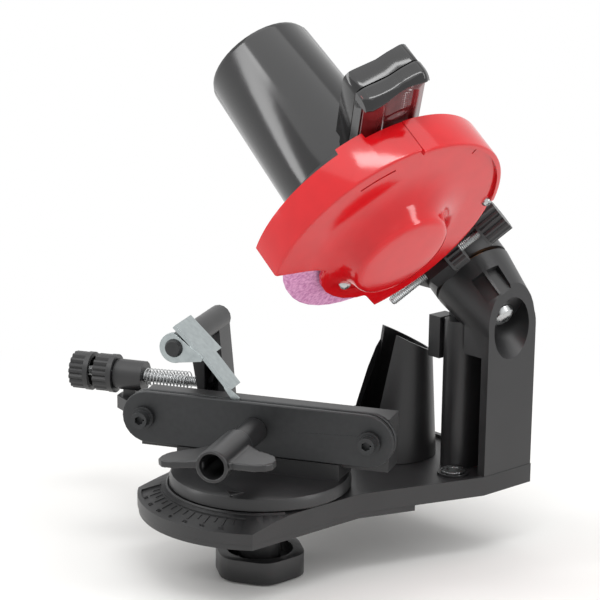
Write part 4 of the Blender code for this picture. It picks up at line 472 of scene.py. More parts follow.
def bars(name, boxes, finish, body, place, slope=0.0, slope_start=0.0):
    """Several small bars as one piece, from the centre, half sizes and turn of each."""
    points, faces = [], []
    for centre, (half_long, half_wide, half_high), turn in boxes:
        start = len(points)
        for side, draft in ((-1, 0), (1, BAR_DRAFT_MM)):
            for x, y in ((-1, -1), (1, -1), (1, 1), (-1, 1)):
                corner = Vector((x * max(half_long - draft, BAR_TOP_LEAST_MM),
                                 y * max(half_wide - draft, BAR_TOP_LEAST_MM), side * half_high))
                point = Vector(centre) + Matrix.Rotation(turn, 3, "Z") @ corner
                point.z -= slope * (math.hypot(point.x, point.y) - slope_start)
                points.append(point)
        faces += [tuple(start + i for i in face) for face in BAR_FACES]
    return new_piece(name, points, faces, finish, body, place)


print("a bar has", len(BAR_FACES), "faces")

# %% [markdown]
# Measured curves are kept as short tables. One helper eases between two limits, one reads a smooth
# curve through a table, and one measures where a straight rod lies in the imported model.

# %% Helpers for measured curves


def between(value, low, high):
    """How far a value lies between two limits, from 0 to 1, eased at both ends."""
    share = min(max((value - low) / (high - low), 0), 1)
    return share * share * (3 - 2 * share)


def along_table(value, table):
    """Reads a smooth curve through a table of pairs, with a Hermite piece between each two."""
    last = len(table) - 1
    slopes = [(table[min(i + 1, last)][1] - table[max(i - 1, 0)][1])
              / (table[min(i + 1, last)][0] - table[max(i - 1, 0)][0]) for i in range(last + 1)]
    for i in range(last):
        (x0, y0), (x1, y1) = table[i], table[i + 1]
        if value <= x1 or i == last - 1:
            width = x1 - x0
            share = min(max((value - x0) / width, 0), 1)
            square, cube = share ** 2, share ** 3
            return ((2 * cube - 3 * square + 1) * y0 + (cube - 2 * square + share) * width * slopes[i]
                    + (3 * square - 2 * cube) * y1 + (cube - square) * width * slopes[i + 1])


def node_span(node, direction):
    """Where a straight rod's axis starts, and its length along a direction."""
    corners = [vertex.co for vertex in nodes[node].data.vertices]
    reach = [corner.dot(direction) for corner in corners]
    middle = sum(corners, Vector()) / len(corners)
    start = middle + direction * (min(reach) - middle.dot(direction))
    return start, (max(reach) - min(reach)) / MM


print("halfway between two limits the share is", between(0.5, 0, 1))

# %% [markdown]
# ## Wheel guard
#
# The guard is one glossy red moulding to the eye: a band round the wheel, a flat face and a round
# boss over the arbor nut that flows out of the face in a hollow curve. Over a quarter of its rim a
# second wall stands proud, with a dark slot inside it. Every point of the face lies on a ray from
# the spindle, so the whole skin is one sheet of rows: each column is a ray, and its profile runs
# from the back of the band, over the rolled edge and across the face to the middle of the boss.

# %% Sizes of the guard
GUARD_MM = 62.15
GUARD_WALL_MM = 1.5
BAND_BACK_MM = -12.2
FACE_MM = 5.3
FLAT_MM = 60.0
OPEN_FROM_DEG, OPEN_TO_DEG = -65, -166
# the lobed outline: bearing in degrees and distance from the spindle
LOBE_MM = [(-166, 62), (-151.9, 35), (-142, 36.6), (-129, 38.3), (-117, 40), (-104, 42), (-92, 44.5),
           (-80, 47), (-73.1, 48), (-65, 62)]
# the boss and the hollow round it: distance from the spindle and height
BOSS_MM = [(0, 19.4), (21.5, 19.4), (23.0, 19.2), (24.0, 18.7), (24.8, 17.8), (25.2, 16.8), (25.6, 15.4),
           (26.2, 13.8), (27.2, 12.0), (28.6, 10.3), (30.4, 8.8), (32.6, 7.5), (35.2, 6.5), (38.2, 5.8),
           (41.5, 5.4), (44.0, FACE_MM)]
RIM_WALL_DEG, RIM_WALL_PROUD_MM, RIM_WALL_WIDER_MM = (14, 104), 1.5, 0.45
RIM_SLOT_DEG, RIM_SLOT_MM, RIM_SLOT_FLOOR_MM = (15, 68), (59.9, 56.4), -4
THIN_SLOT_DEG, THIN_SLOT_MM, THIN_SLOT_DEPTH_MM = (117, 136), (55.1, 54.1), 1.6
REAR_STEP_DEG, REAR_STEP_MM = (122, 135), 2.9
RIM_EDGE_MM = [(0, 1.1), (0.2, 0.45), (0.6, 0.1), (1.1, 0)]  # inward and back, over the rolled edge
LIP_MM = 1.2
LIP_EDGE_MM = [(LIP_MM, 2.1), (0, 2.1), (0, 0.7), (0.2, 0.25), (0.6, 0.05)]
LIP_END_MM = 1.0
KNEE_MM = 6
CUT_LEAST_MM = 0.1
FACE_ROWS_MM = (FLAT_MM, 59.9, 56.4, 56.3, 55.2, 55.1, 54.1, 54.0, 52, 48, 44, 41.5, 38.2, 35.2, 32.6, 30.4,
                28.6, 27.2, 26.2, 25.6, 25.2, 24.8, 24.0, 23.0, 21.5, 14, 5, NEAR_AXIS_MM)
print("guard of", 2 * GUARD_MM, "mm with a boss", BOSS_MM[0][1] - FACE_MM, "mm high")

# %% [markdown]
# The front is open below, where the wheel works, so there a ray ends early, on the straight pieces
# of a lobed outline. Rows that would lie past that end are drawn in towards it, and the skin stays
# one sheet.

# %% Profile of the guard along one ray


def lobe_reach(angle):
    """How far the face reaches along a ray of the open sector."""
    for (a0, r0), (a1, r1) in zip(LOBE_MM, LOBE_MM[1:]):
        if a0 <= angle <= a1:
            first, last, ray = Vector(polar(r0, a0)), Vector(polar(r1, a1)), Vector(polar(1, angle))
            side = last - first
            return (first.x * side.y - first.y * side.x) / (ray.x * side.y - ray.y * side.x)
    return GUARD_MM


def face_height(radius):
    """The face of the guard with its boss, by distance from the spindle."""
    for (r0, t0), (r1, t1) in zip(BOSS_MM, BOSS_MM[1:]):
        if radius <= r1:
            return t0 + (t1 - t0) * (radius - r0) / (r1 - r0)
    return FACE_MM


def guard_profile(angle):
    """Radius and height down one ray, from the back of the band to the middle of the boss."""
    walled, slotted, thin, stepped = (low < angle < high for low, high in (
        RIM_WALL_DEG, RIM_SLOT_DEG, THIN_SLOT_DEG, REAR_STEP_DEG))
    limit = lobe_reach(angle) if OPEN_TO_DEG < angle < OPEN_FROM_DEG else GUARD_MM
    if limit < GUARD_MM - CUT_LEAST_MM:
        edge = face_height(limit)
        rim = [(limit - inward, edge - back) for inward, back in LIP_EDGE_MM]
        rim.append((limit - LIP_END_MM, face_height(limit - LIP_END_MM)))
        flat = limit - LIP_MM
    else:
        outer = limit + (RIM_WALL_WIDER_MM if walled else 0)
        front = FACE_MM + (RIM_WALL_PROUD_MM if walled else 0)
        band_back = BAND_BACK_MM - (REAR_STEP_MM if stepped else 0)
        rim = [(outer - GUARD_WALL_MM, band_back), (outer, band_back)]
        rim += [(outer - inward, front - back) for inward, back in RIM_EDGE_MM]
        flat = FLAT_MM
    inner = []
    for radius in FACE_ROWS_MM:
        height = face_height(radius)
        if walled and radius == FLAT_MM:
            height = FACE_MM + RIM_WALL_PROUD_MM
        if slotted and radius in RIM_SLOT_MM:
            height = RIM_SLOT_FLOOR_MM
        if thin and radius in THIN_SLOT_MM:
            height = FACE_MM - THIN_SLOT_DEPTH_MM
        if flat < FLAT_MM:
            knee = flat - KNEE_MM
            if radius > knee:
                radius = knee + (radius - knee) / (FLAT_MM - knee) * KNEE_MM
            height = face_height(radius)
        inner.append((radius, height))
    return rim + inner


print("a ray of the guard has", len(guard_profile(0)), "points")

# %% [markdown]
# The rays stand two degrees apart. At each step of the rim two rays stand so close together that
# the step between them looks like a straight wall.

# %% Build the skin of the guard
RAY_EVERY_DEG = 2
STEP_HALF_DEG = 0.1
STEP_CLEAR_DEG = 0.5


def guard_angles():
    """The rays: evenly spaced, and two close together at each step of the rim."""
    angles = set(range(-180, 180, RAY_EVERY_DEG))
    for edge in (OPEN_FROM_DEG, OPEN_TO_DEG, *RIM_WALL_DEG, *RIM_SLOT_DEG, *THIN_SLOT_DEG, *REAR_STEP_DEG):
        angles = {angle for angle in angles if abs(angle - edge) > STEP_CLEAR_DEG}
        angles |= {edge - STEP_HALF_DEG, edge + STEP_HALF_DEG}
    return sorted(angles)


rays = guard_angles()
profiles = [guard_profile(angle) for angle in rays]
row_count = len(profiles[0])
skin_points = [(*polar(profile[row][0], angle), profile[row][1])
               for row in range(row_count) for angle, profile in zip(rays, profiles)]
guard_skin = new_piece("guard_skin", skin_points, row_faces(row_count, len(rays)), gloss_red_abs,
                       "head", spindle_frame, sharp_degrees=30)
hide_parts("guard_front_cover")
print("guard skin:", len(rays), "rays of", row_count, "points")

# %% [markdown]
# Two small pan head screws hold the guard's cover: one at the end of the rim wall, and one sunk
# beside the boss. A screw is a turned profile with a cross of two dark bars on its head. The bars
# are painted shade that stands in for the shaded cross recess.

# %% Screws of the guard
# radius and height, over the head and down into the cover
PAN_HEAD_MM = [(NEAR_AXIS_MM, 1.5), (1.4, 1.4), (2.2, 0.9), (2.6, 0.2), (2.6, -2.5), (NEAR_AXIS_MM, -2.5)]
PAN_HEAD_STEPS = 24
CROSS_TURNS = (0.4, 1.97)
CROSS_TOP_MM = 1.45
CROSS_LONG_MM, CROSS_WIDE_MM, CROSS_HIGH_MM = 1.2, 0.3, 0.12
for name, place_mm, grow in (("rim_screw", (57.6, 13.2, 5.6), 1.0),
                             ("boss_screw", (-13.5, -26.5, 9.5), 1.1)):
    spot = spindle_frame @ Matrix.Translation(Vector(place_mm) * MM)
    turned(name, [(radius * grow, height * grow) for radius, height in PAN_HEAD_MM], bright_plated_steel,
           "head", spot, PAN_HEAD_STEPS)
    centre, half_size = (0, 0, CROSS_TOP_MM * grow), (CROSS_LONG_MM * grow, CROSS_WIDE_MM, CROSS_HIGH_MM)
    cross = [(centre, half_size, turn) for turn in CROSS_TURNS]
    # The dark cross is painted shade: dark bars on the bright head where the recess would be in shade.
    bars(name + "_painted_shade_cross", cross, phosphated_steel, "head", spot)
    print(name, "head", round(2 * PAN_HEAD_MM[3][0] * grow, 1), "mm wide")

# %% [markdown]
# ## Handle
#
# The handle is two glossy shells. The front one rolls over in a thick brow, and the brow's lower edge
# lifts in a wave over the ribbed part of the rocker. The rocker fills the whole width below it.
# All of it is drawn in the handle's own frame: across, up, and out towards the wheel. The brow is
# one section that is repeated across the handle, while its height and its end follow two curves.

# %% Brow of the front shell
HANDLE_TURN = math.radians(25)
HANDLE_SHIFT_MM = 9.6
HANDLE_HALF_MM = 16.5
handle_frame = (spindle_frame @ Matrix.Rotation(HANDLE_TURN, 4, "Z")
                @ Matrix.Translation(Vector((HANDLE_SHIFT_MM, 0, 0)) * MM))
# across and up, then across and the angle at which the brow ends
TOP_WAVE_MM = [(-HANDLE_HALF_MM, 80.6), (-12.5, 82), (-5, 82), (0, 82.3), (6, 84), (12, 85), (14.5, 84.6),
               (HANDLE_HALF_MM, 82.5)]
BROW_END_DEG = [(-HANDLE_HALF_MM, 78), (-11, 78), (-7.5, 68), (-4, 54), (0, 44), (5, 46), (9, 58),
                (12.5, 70), (HANDLE_HALF_MM, 72)]
BROW_RADIUS_MM = 5.0
BROW_FRONT_MM = -13.4
BROW_DEEP_MM = 9
BROW_ARC_STEPS = 10
BROW_UNDER = [(0.15, 4), (0.9, 7), (3.3, 5)]  # how much less radius, and how many degrees further
BACK_EDGE_MM, BACK_FLAT_MM = 0.5, 2
DRAW_IN_MM, DRAW_IN_FROM_MM = 1.6, 13.6
SHELL_BACK_MM = -24.2
ROCKER_BED_MM = -22.5


def brow_column(across):
    """The brow's section at one place across: over the top, round the front and back under its edge."""
    top = along_table(across, TOP_WAVE_MM)
    end = along_table(across, BROW_END_DEG)
    draw_in = DRAW_IN_MM * between(abs(across), DRAW_IN_FROM_MM, HANDLE_HALF_MM)
    centre_up, centre_out = top - BROW_RADIUS_MM, BROW_FRONT_MM - BROW_RADIUS_MM - draw_in
    column = [(across, top - BROW_DEEP_MM, SHELL_BACK_MM), (across, top - BACK_EDGE_MM, SHELL_BACK_MM),
              (across, top, SHELL_BACK_MM + BACK_EDGE_MM), (across, top, SHELL_BACK_MM + BACK_FLAT_MM)]
    arc = [(BROW_RADIUS_MM, end * i / BROW_ARC_STEPS) for i in range(BROW_ARC_STEPS + 1)]
    for radius, degrees in arc + [(BROW_RADIUS_MM - less, end + further) for less, further in BROW_UNDER]:
        up, out = polar(radius, degrees)
        column.append((across, centre_up + up, centre_out + out))
    column.append((across, top - BROW_DEEP_MM, ROCKER_BED_MM))
    return column


end_steps = [15.8, 16.3, HANDLE_HALF_MM]
columns = [brow_column(across)
           for across in [-step for step in reversed(end_steps)] + list(range(-15, 16)) + end_steps]
rows = len(columns[0])
points = [point for column in columns for point in column]
faces = row_faces(len(columns), rows)
faces += [tuple(range(rows)), tuple(range(len(points) - 1, len(points) - rows - 1, -1))]
brow = new_piece("handle_brow", points, faces, gloss_black_abs, "head", handle_frame, sharp_degrees=50)
print("brow of", len(columns), "sections")

# %% [markdown]
# Below the brow the front shell is a shallow tray for the rocker: a floor with a thin rail along
# each side. A tray like this is one section, drawn out along the handle.

# %% Bed of the rocker
RAIL_INNER_MM = 16.05
RAIL_FRONT_MM = -18.6
BED_LOW_MM, BED_HIGH_MM = 41.3, 76
BED_EDGE_MM = 0.15
half_section = [(HANDLE_HALF_MM, SHELL_BACK_MM), (HANDLE_HALF_MM, RAIL_FRONT_MM),
                (RAIL_INNER_MM, RAIL_FRONT_MM), (RAIL_INNER_MM, ROCKER_BED_MM)]
bed_section = [(-HANDLE_HALF_MM, SHELL_BACK_MM), *half_section]
bed_section += [(-across, out) for across, out in reversed(half_section[1:])]
corner_count = len(bed_section)
bed_points = [(across, up, out) for up in (BED_LOW_MM, BED_HIGH_MM) for across, out in bed_section]
bed_faces = row_faces(2, corner_count)
bed_faces += [tuple(reversed(range(corner_count))), tuple(range(corner_count, 2 * corner_count))]
bed = new_piece("handle_bed", bed_points, bed_faces, gloss_black_abs, "head", handle_frame)
round_edges(bed, BED_EDGE_MM)
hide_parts("handle_front_shell")
print("bed", BED_HIGH_MM - BED_LOW_MM, "mm long")

# %% [markdown]
# ## Rocker
#
# The rocker's face has a sunken panel of fine bowed ribs for the thumb, with a raised oval below
# it, and it falls away under the brow. All of that is height over a flat rectangle, so the face is
# a grid of points that one function lifts, and a wall round its border closes it at the back.

# %% Height of the rocker's face
RIB_PITCH_MM = 1.5
RIB_HEIGHT_MM = 0.32
RIB_BOW = 0.035
RIB_MIDDLE_MM = 1.5
ROCKER_HALF_MM = 15.9
# across and out
ROCKER_SECTION_MM = [(-ROCKER_HALF_MM, -17.6), (-11.2, -15.5), (-6.5, -15.2), (-5.2, -15.9), (8.7, -15.9),
                     (10, -15.2), (11.5, -15.3), (ROCKER_HALF_MM, -17.2)]
PANEL_LEFT_MM, PANEL_RIGHT_MM, PANEL_LOW_MM = (-5.5, -4.5), (8, 9), (64.5, 66)
FALL_MM, FALL_SPAN_MM = 4.0, (75, 81.5)
OVAL_PLACE_MM, OVAL_HALF_MM = (0.8, 61.5), (6.2, 1.9)
OVAL_PROUD_MM, OVAL_FADE = 1.3, (0.2, 1.15)


def rocker_face(across, up):
    """How far the rocker's face stands out at a place."""
    out = along_table(across, ROCKER_SECTION_MM) - FALL_MM * between(up, *FALL_SPAN_MM) ** 2
    in_panel = (between(across, *PANEL_LEFT_MM) * (1 - between(across, *PANEL_RIGHT_MM))
                * between(up, *PANEL_LOW_MM))
    bow = RIB_BOW * (across - RIB_MIDDLE_MM) ** 2
    out += in_panel * RIB_HEIGHT_MM * (1 + math.cos(math.tau * (up + bow) / RIB_PITCH_MM))
    away = math.hypot((across - OVAL_PLACE_MM[0]) / OVAL_HALF_MM[0],
                      (up - OVAL_PLACE_MM[1]) / OVAL_HALF_MM[1])
    return out + OVAL_PROUD_MM * (1 - between(away, *OVAL_FADE))


print("rocker ribs every", RIB_PITCH_MM, "mm")

# %% [markdown]
# The grid is fine enough for six points on each rib. Its border is repeated at the level of the
# rocker's back, and the two borders are joined by a wall.

# %% Build the rocker
ROCKER_LOW_MM = 44
ROCKER_BACK_MM = -19.6
ROW_STEP_MM = 0.25
ROCKER_ROWS, ROCKER_COLUMNS = 149, 73
ups = [ROCKER_LOW_MM + ROW_STEP_MM * i for i in range(ROCKER_ROWS)]
acrosses = [-ROCKER_HALF_MM + 2 * ROCKER_HALF_MM * i / (ROCKER_COLUMNS - 1) for i in range(ROCKER_COLUMNS)]
points = [(across, up, rocker_face(across, up)) for up in ups for across in acrosses]
faces = row_faces(ROCKER_ROWS, ROCKER_COLUMNS, closed=False)
last_row, last_column = ROCKER_ROWS - 1, ROCKER_COLUMNS - 1
border = [(0, c) for c in range(ROCKER_COLUMNS)] + [(r, last_column) for r in range(1, ROCKER_ROWS)]
border += [(last_row, c) for c in range(last_column - 1, -1, -1)]
border += [(r, 0) for r in range(last_row - 1, 0, -1)]
border = [r * ROCKER_COLUMNS + c for r, c in border]
front_count = len(points)
points += [(points[i][0], points[i][1], ROCKER_BACK_MM) for i in border]
for i in range(len(border)):
    j = (i + 1) % len(border)
    faces.append((border[i], border[j], front_count + j, front_count + i))
faces.append(tuple(front_count + i for i in range(len(border))))
rocker = new_piece("rocker_cap", points, faces, tinted_red_polycarbonate, "rocker", handle_frame,
                   sharp_degrees=40)
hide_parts("switch_rocker")
print("rocker of", ROCKER_ROWS, "by", ROCKER_COLUMNS, "points")

# %% [markdown]
# ## Wing knob
#
# The wing knob is one moulding: a tube with two thin leaf-shaped wings that run out of it in round
# fillets. Fillets like these are hard to model face by face. It is simpler to let the plain forms
# overlap, turn them into one skin of small cells with a voxel remesh, and then smooth that skin:
# the smoothing fills each inner corner, as the toolmaker's ball cutter does.

# %% Plain forms of the knob
# the outline of a wing: across, and along from the mouth of the tube
WING_LEAF_MM = [(5, -33.0), (8.5, -31.5), (12, -27.5), (17, -22.5), (22.5, -19.5), (26.8, -15.5),
                (29.2, -10.0), (29.0, -5.0), (26.2, -1.8), (21, -0.6), (14, -1.6), (5, -3.4)]
WING_THICK_MM = 3.6
WING_SLOPE = math.radians(-4.2)
TUBE_STEPS = 40
knob_back, knob_length_mm = node_span("clamp_wing_knob", toward_user)
# radius and distance along: the hollow, the round mouth, the tube, the collar and the back
tube_profile = [(NEAR_AXIS_MM, -33), (6.2, -33), (6.2, -0.4), (6.5, 0), (7.8, 0), (8.2, -0.5), (8.2, -35.5),
                (6.7, -37.5), (6.5, 1 - knob_length_mm), (3.4, -knob_length_mm + 0.1), (3.4, -40),
                (NEAR_AXIS_MM, -40)]
points = [(x, -along, z) for radius, along in tube_profile for x, z in ring(radius, TUBE_STEPS)]
faces = row_faces(len(tube_profile), TUBE_STEPS)
for mirror in (1, -1):
    start = len(points)
    count = len(WING_LEAF_MM)
    points += [(mirror * x, -y, z) for z in (-WING_THICK_MM / 2, WING_THICK_MM / 2) for x, y in WING_LEAF_MM]
    faces += [tuple(range(start, start + count)), tuple(range(start + 2 * count - 1, start + count - 1, -1))]
    faces += [(start + i, start + (i + 1) % count, start + count + (i + 1) % count, start + count + i)
              for i in range(count)]
print("wing knob:", round(knob_length_mm, 1), "mm long")

# %% [markdown]
# The forms are set on the clamp stud's own axis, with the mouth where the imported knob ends, and
# the modifiers do the rest. The cells are small enough to keep the thin rim of the tube.

# %% Tube and wings in one skin
WING_VOXEL_MM = 0.55
knob_axis = Vector(joints["clamp_turn"]["pos_m"])
mouth = knob_axis + toward_user * ((knob_back - knob_axis).dot(toward_user) + knob_length_mm * MM)
wing_frame = axes(mouth, across_vise, -toward_user, UPWARD) @ Matrix.Rotation(WING_SLOPE, 4, "Y")
wing = new_piece("wing_knob_skin", points, faces, knob_black_nylon, "clamp_knob", wing_frame)
skin = wing.modifiers.new("one skin", "REMESH")
skin.mode = "VOXEL"
skin.voxel_size = WING_VOXEL_MM * MM
skin.use_smooth_shade = True
soften = wing.modifiers.new("fillets", "SMOOTH")
soften.factor = 0.5
soften.iterations = 6
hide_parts("clamp_wing_knob")
print("wing knob remeshed at", WING_VOXEL_MM, "mm")

# %% [markdown]
# ## Threads and the loose spring
#
# The adjuster rod and the depth rod are plain threaded rod. A thread is a groove wound on a screw
# line, so each point's radius depends only on how far along and how far round it lies. The real
# pitch of one millimetre is drawn as it is, because it is just wide enough to show.

# %% Threaded rods
THREAD_PITCH_MM = 1.0
THREAD_DEPTH_MM = 0.42
THREAD_CREST_POWER = 1.3
THREAD_STEPS_ROUND, THREAD_ROWS_PER_TURN = 20, 8
ROD_POINT_SHARE, ROD_POINT_MM = 0.25, 1.2
ADJUSTER_ROD_MM, DEPTH_ROD_MM = 2.8, 2.5


def threaded_rod(name, node, start, direction, length_mm, radius_mm, body):
    """A threaded rod in place of a plain one, with slightly pointed ends."""
    beside = direction.orthogonal().normalized()
    place = axes(start, beside, direction.cross(beside), direction)
    around = THREAD_STEPS_ROUND
    rows = round(length_mm / THREAD_PITCH_MM * THREAD_ROWS_PER_TURN)
    points = [(x, y, 0) for x, y in ring(NEAR_AXIS_MM, around)]
    for r in range(rows + 1):
        along = length_mm * r / rows
        taper = 1 - ROD_POINT_SHARE * (1 - between(min(along, length_mm - along), 0, ROD_POINT_MM))
        for s, (x, y) in enumerate(ring(1, around)):
            phase = (along / THREAD_PITCH_MM + s / around) % 1
            crest = radius_mm - THREAD_DEPTH_MM * abs(2 * phase - 1) ** THREAD_CREST_POWER
            points.append((crest * taper * x, crest * taper * y, along))
    points += [(x, y, length_mm) for x, y in ring(NEAR_AXIS_MM, around)]
    rod = new_piece(name, points, row_faces(rows + 3, around), bright_plated_steel, body, place,
                    sharp_degrees=60)
    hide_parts(node)


depth_along = Vector(joints["depth_screw_slide"]["axis"]).normalized()
for name, node, direction, radius_mm, body in (
        ("adjuster_thread", "adjuster_rod", across_vise, ADJUSTER_ROD_MM, "adjuster"),
        ("depth_thread", "depth_rod", depth_along, DEPTH_ROD_MM, "depth_screw")):
    start, length_mm = node_span(node, direction)
    threaded_rod(name, node, start, direction, length_mm, radius_mm, body)
    print(name, round(length_mm, 1), "mm")

# %% [markdown]
# The spring hangs loosely over the adjuster rod and keeps the stop from rattling. Wire is easiest
# as a curve with a round section, and the coil widens a little towards its free end.

# %% Loose spring over the adjuster rod
SPRING_WIRE_MM = 0.35
SPRING_CURLS = 13
POINTS_PER_CURL = 20
SPRING_RADIUS_MM, SPRING_WIDENS_MM = 4.4, 0.6
spring_start, spring_length = node_span("adjuster_spring", across_vise)
spring_axis = Vector(joints["adjuster_turn"]["pos_m"])
spring_start = spring_axis + across_vise * (spring_start - spring_axis).dot(across_vise)
side = across_vise.cross(UPWARD).normalized()
lift = side.cross(across_vise).normalized()
curve = bpy.data.curves.new("loose_spring", "CURVE")
curve.dimensions = "3D"
curve.bevel_depth = SPRING_WIRE_MM * MM
curve.bevel_resolution = 3
count = SPRING_CURLS * POINTS_PER_CURL
spline = curve.splines.new("POLY")
spline.points.add(count)
for i in range(count + 1):
    share = i / count
    angle = math.tau * SPRING_CURLS * share
    radius = (SPRING_RADIUS_MM + SPRING_WIDENS_MM * share) * MM
    along = (SPRING_WIRE_MM + (spring_length - 2 * SPRING_WIRE_MM) * share) * MM
    spot = (spring_start + across_vise * along
            + side * math.cos(angle) * radius + lift * math.sin(angle) * radius)
    spline.points[i].co = (*spot, 1)
curve.materials.append(bright_plated_steel)
spring = bpy.data.objects.new("loose_spring", curve)
bpy.context.scene.collection.objects.link(spring)
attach(spring, "table")
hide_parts("adjuster_spring")
print("spring of", SPRING_CURLS, "curls")

# %% [markdown]
# ## Angle scale
#
# The scale is moulded into the floor of its window: a raised tick for every five degrees, a longer
# one for every ten, and plain numbers below them. The window's floor is part of a cone that falls
# by 4.6 mm over 14.2 mm. The ticks are small bars set round the turntable's axis.

# %% Ticks
WINDOW_FLOOR_MM = -0.9
CONE_SLOPE = 4.6 / 14.2
CONE_START_MM = 47.8
SCALE_REACH_DEG, TICK_EVERY_DEG, LONG_TICK_EVERY_DEG = 35, 5, 10
TICK_START_MM = 50.5
TICK_HALF_LONG_MM, TICK_HALF_SHORT_MM = 2.9, 1.9
TICK_HALF_WIDTH_MM, TICK_HALF_HEIGHT_MM = 0.42, 0.45
ticks = []
for degrees in range(-SCALE_REACH_DEG, SCALE_REACH_DEG + 1, TICK_EVERY_DEG):
    reach = TICK_HALF_LONG_MM if degrees % LONG_TICK_EVERY_DEG == 0 else TICK_HALF_SHORT_MM
    ticks.append(((*polar(TICK_START_MM + reach, degrees - 90), WINDOW_FLOOR_MM),
                  (reach, TICK_HALF_WIDTH_MM, TICK_HALF_HEIGHT_MM), math.radians(degrees - 90)))
scale_ticks = bars("angle_scale_ticks", ticks, satin_black_nylon, "base", base_frame, CONE_SLOPE,
                   CONE_START_MM)
print("ticks:", len(ticks))

# %% [markdown]
# The numbers are text objects, thickened a little and tilted to lie on the cone. Each one is
# turned about the turntable's axis, so it reads straight from the front.

# %% Numbers
NUMBER_REACH_DEG = 30
NUMBER_RADIUS_MM = 58.3
NUMBER_SIZE_MM, NUMBER_DEPTH_MM, NUMBER_LIFT_MM = 3.0, 0.3, 0.1
floor_here = WINDOW_FLOOR_MM - CONE_SLOPE * (NUMBER_RADIUS_MM - CONE_START_MM)
spot = Vector((0, -NUMBER_RADIUS_MM, floor_here + NUMBER_LIFT_MM)) * MM
for degrees in range(-NUMBER_REACH_DEG, NUMBER_REACH_DEG + 1, LONG_TICK_EVERY_DEG):
    text = bpy.data.curves.new("angle_number", "FONT")
    text.body = str(abs(degrees))
    text.size = NUMBER_SIZE_MM * MM
    text.extrude = NUMBER_DEPTH_MM * MM
    text.align_x = "CENTER"
    text.align_y = "CENTER"
    number = bpy.data.objects.new("angle_number_" + str(degrees).replace("-", "minus_"), text)
    number.matrix_world = (base_frame @ Matrix.Rotation(math.radians(degrees), 4, "Z")
                           @ Matrix.Translation(spot) @ Matrix.Rotation(math.atan(CONE_SLOPE), 4, "X"))
    text.materials.append(satin_black_nylon)
    bpy.context.scene.collection.objects.link(number)
    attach(number, "base")
print("numbers", NUMBER_SIZE_MM, "mm high")

# %% [markdown]
# The pointer on the turntable is a raised outline of a triangle, so it is three bars on the disc:
# one along the back, and two that meet in the tip over the scale.

# %% Pointer outline
POINTER_HALF_MM, POINTER_FAR_MM, POINTER_TIP_MM = 4.4, -38.0, -44.0
POINTER_LINE_MM = (0.4, 0.3)
DISC_TOP_MM = 8.0
slant = math.atan2(POINTER_FAR_MM - POINTER_TIP_MM, POINTER_HALF_MM)
half_side = math.hypot(POINTER_HALF_MM, POINTER_FAR_MM - POINTER_TIP_MM) / 2
middle_y = (POINTER_FAR_MM + POINTER_TIP_MM) / 2
outline = [((0, POINTER_FAR_MM, DISC_TOP_MM), (POINTER_HALF_MM, *POINTER_LINE_MM), 0)]
outline += [((side * POINTER_HALF_MM / 2, middle_y, DISC_TOP_MM), (half_side, *POINTER_LINE_MM),
             side * slant) for side in (1, -1)]
pointer = bars("pointer_outline", outline, satin_black_nylon, "table", vise_frame)
print("pointer stands", POINTER_LINE_MM[1], "mm proud of the disc")

# %% [markdown]
# ## Floor
#
# The tool stands on a pale floor without an edge. Near the tool it is a plain matt surface that
# takes the shadow. Further out it fades into pure white, but only for the rays of the camera and
# of reflections, so it adds no light to the object.

# %% Pale floor
FLOOR_HALF_M = 3
FLOOR_GAP_MM = 1
FADE_FROM_M, FADE_TO_M = 0.16, 0.42


def seen_rays(tree):
    """One for rays of the camera, of reflections and through clear matter, and zero for light."""
    paths = add_node(tree, "ShaderNodeLightPath")
    seen = add_node(tree, "ShaderNodeMath", {"operation": "MAXIMUM"}, in_0=paths.outputs["Is Camera Ray"],
                    in_1=paths.outputs["Is Glossy Ray"])
    seen = add_node(tree, "ShaderNodeMath", {"operation": "MAXIMUM"}, in_0=seen.outputs["Value"],
                    in_1=paths.outputs["Is Transmission Ray"])
    return seen.outputs["Value"]


knob_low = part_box("turntable_lock_knob")[0].z
floor_mesh = bpy.data.meshes.new("floor")
floor_corners = [(x * FLOOR_HALF_M, y * FLOOR_HALF_M, 0) for x, y in ((-1, -1), (1, -1), (1, 1), (-1, 1))]
floor_mesh.from_pydata(floor_corners, [], [(0, 1, 2, 3)])
floor = bpy.data.objects.new("floor", floor_mesh)
floor.location.z = knob_low - FLOOR_GAP_MM * MM
bpy.context.scene.collection.objects.link(floor)
white_floor, tree, shader = new_finish("white_floor", "#f1f0ee", 0.7)
place = add_node(tree, "ShaderNodeNewGeometry").outputs["Position"]
away = add_node(tree, "ShaderNodeVectorMath", {"operation": "LENGTH"}, in_0=place)
fade = add_node(tree, "ShaderNodeMapRange", {"interpolation_type": "SMOOTHSTEP"},
                Value=away.outputs["Value"], From_Min=FADE_FROM_M, From_Max=FADE_TO_M)
share = add_node(tree, "ShaderNodeMath", {"operation": "MULTIPLY"}, in_0=seen_rays(tree),
                 in_1=fade.outputs["Result"])
white = add_node(tree, "ShaderNodeEmission", Color=srgb("#ffffff"), Strength=1.0)
add_node(tree, "ShaderNodeMixShader", None, ("Shader", tree.nodes["Material Output"].inputs["Surface"]),
         Fac=share.outputs["Value"], in_1=shader.outputs["BSDF"], in_2=white.outputs["Emission"])
floor_mesh.materials.append(white_floor)
print("floor", FLOOR_GAP_MM, "mm under the lock knob")

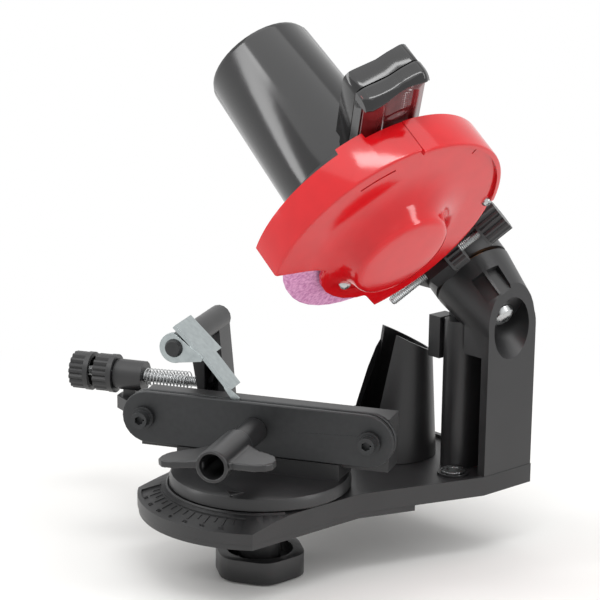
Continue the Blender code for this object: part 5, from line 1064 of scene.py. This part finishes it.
# %% [markdown]
# ## Lamps
#
# The light is that of a plain studio: one very large, weak lamp above for an even level, a tall
# narrow one on each side that draws a long band on the motor can and along the guard's rim, and a
# small strip in front for the highlight along the handle.

# %% Four soft lamps
LAMPS = [  # name, azimuth, elevation, distance in metres, width and height in metres, watts
    ("overhead_lamp", 20, 78, 1.6, (2.4, 2.4), 17),
    ("left_lamp", -38, 26, 1.5, (0.30, 1.5), 8),
    ("right_lamp", 112, 25, 1.5, (0.30, 1.3), 7),
    ("front_strip", 62, 58, 1.4, (0.9, 0.18), 5),
]


def soft_lamp(name, azimuth, elevation, distance, size, power, aim):
    """A rectangular lamp that looks at a point."""
    data = bpy.data.lights.new(name, "AREA")
    data.shape = "RECTANGLE"
    data.size, data.size_y = size
    data.energy = power
    lamp = bpy.data.objects.new(name, data)
    angle = math.radians(azimuth)
    rise = math.radians(elevation)
    back = Vector((math.sin(angle) * math.cos(rise), -math.cos(angle) * math.cos(rise), math.sin(rise)))
    lamp.location = aim + back * distance
    lamp.rotation_euler = back.to_track_quat("Z", "Y").to_euler()
    bpy.context.scene.collection.objects.link(lamp)


for lamp_values in LAMPS:
    soft_lamp(*lamp_values, (cad_low + cad_high) / 2)
print("lit with", len(LAMPS), "lamps")

# %% [markdown]
# ## World
#
# A pale world fills the shadows. It is pure white only where it is seen, straight or in a
# reflection, and lights the object at about half that level, so colours come out as written.

# %% Pale world
WORLD_LIGHT, WORLD_SEEN = 0.55, 1.0
world = bpy.data.worlds.new("pale_world")
bpy.context.scene.world = world
world.use_nodes = True
sky = world.node_tree
background = sky.nodes["Background"]
background.inputs["Color"].default_value = srgb("#ffffff")
add_node(sky, "ShaderNodeMapRange", None, ("Result", background.inputs["Strength"]), Value=seen_rays(sky),
         To_Min=WORLD_LIGHT, To_Max=WORLD_SEEN)
bpy.context.scene.view_settings.view_transform = "Standard"
print("world lights at", WORLD_LIGHT, "and shows at", WORLD_SEEN)

# %% [markdown]
# ## Finish
#
# Nothing more is added to the scene.

# %% Finish
print("scene finished")
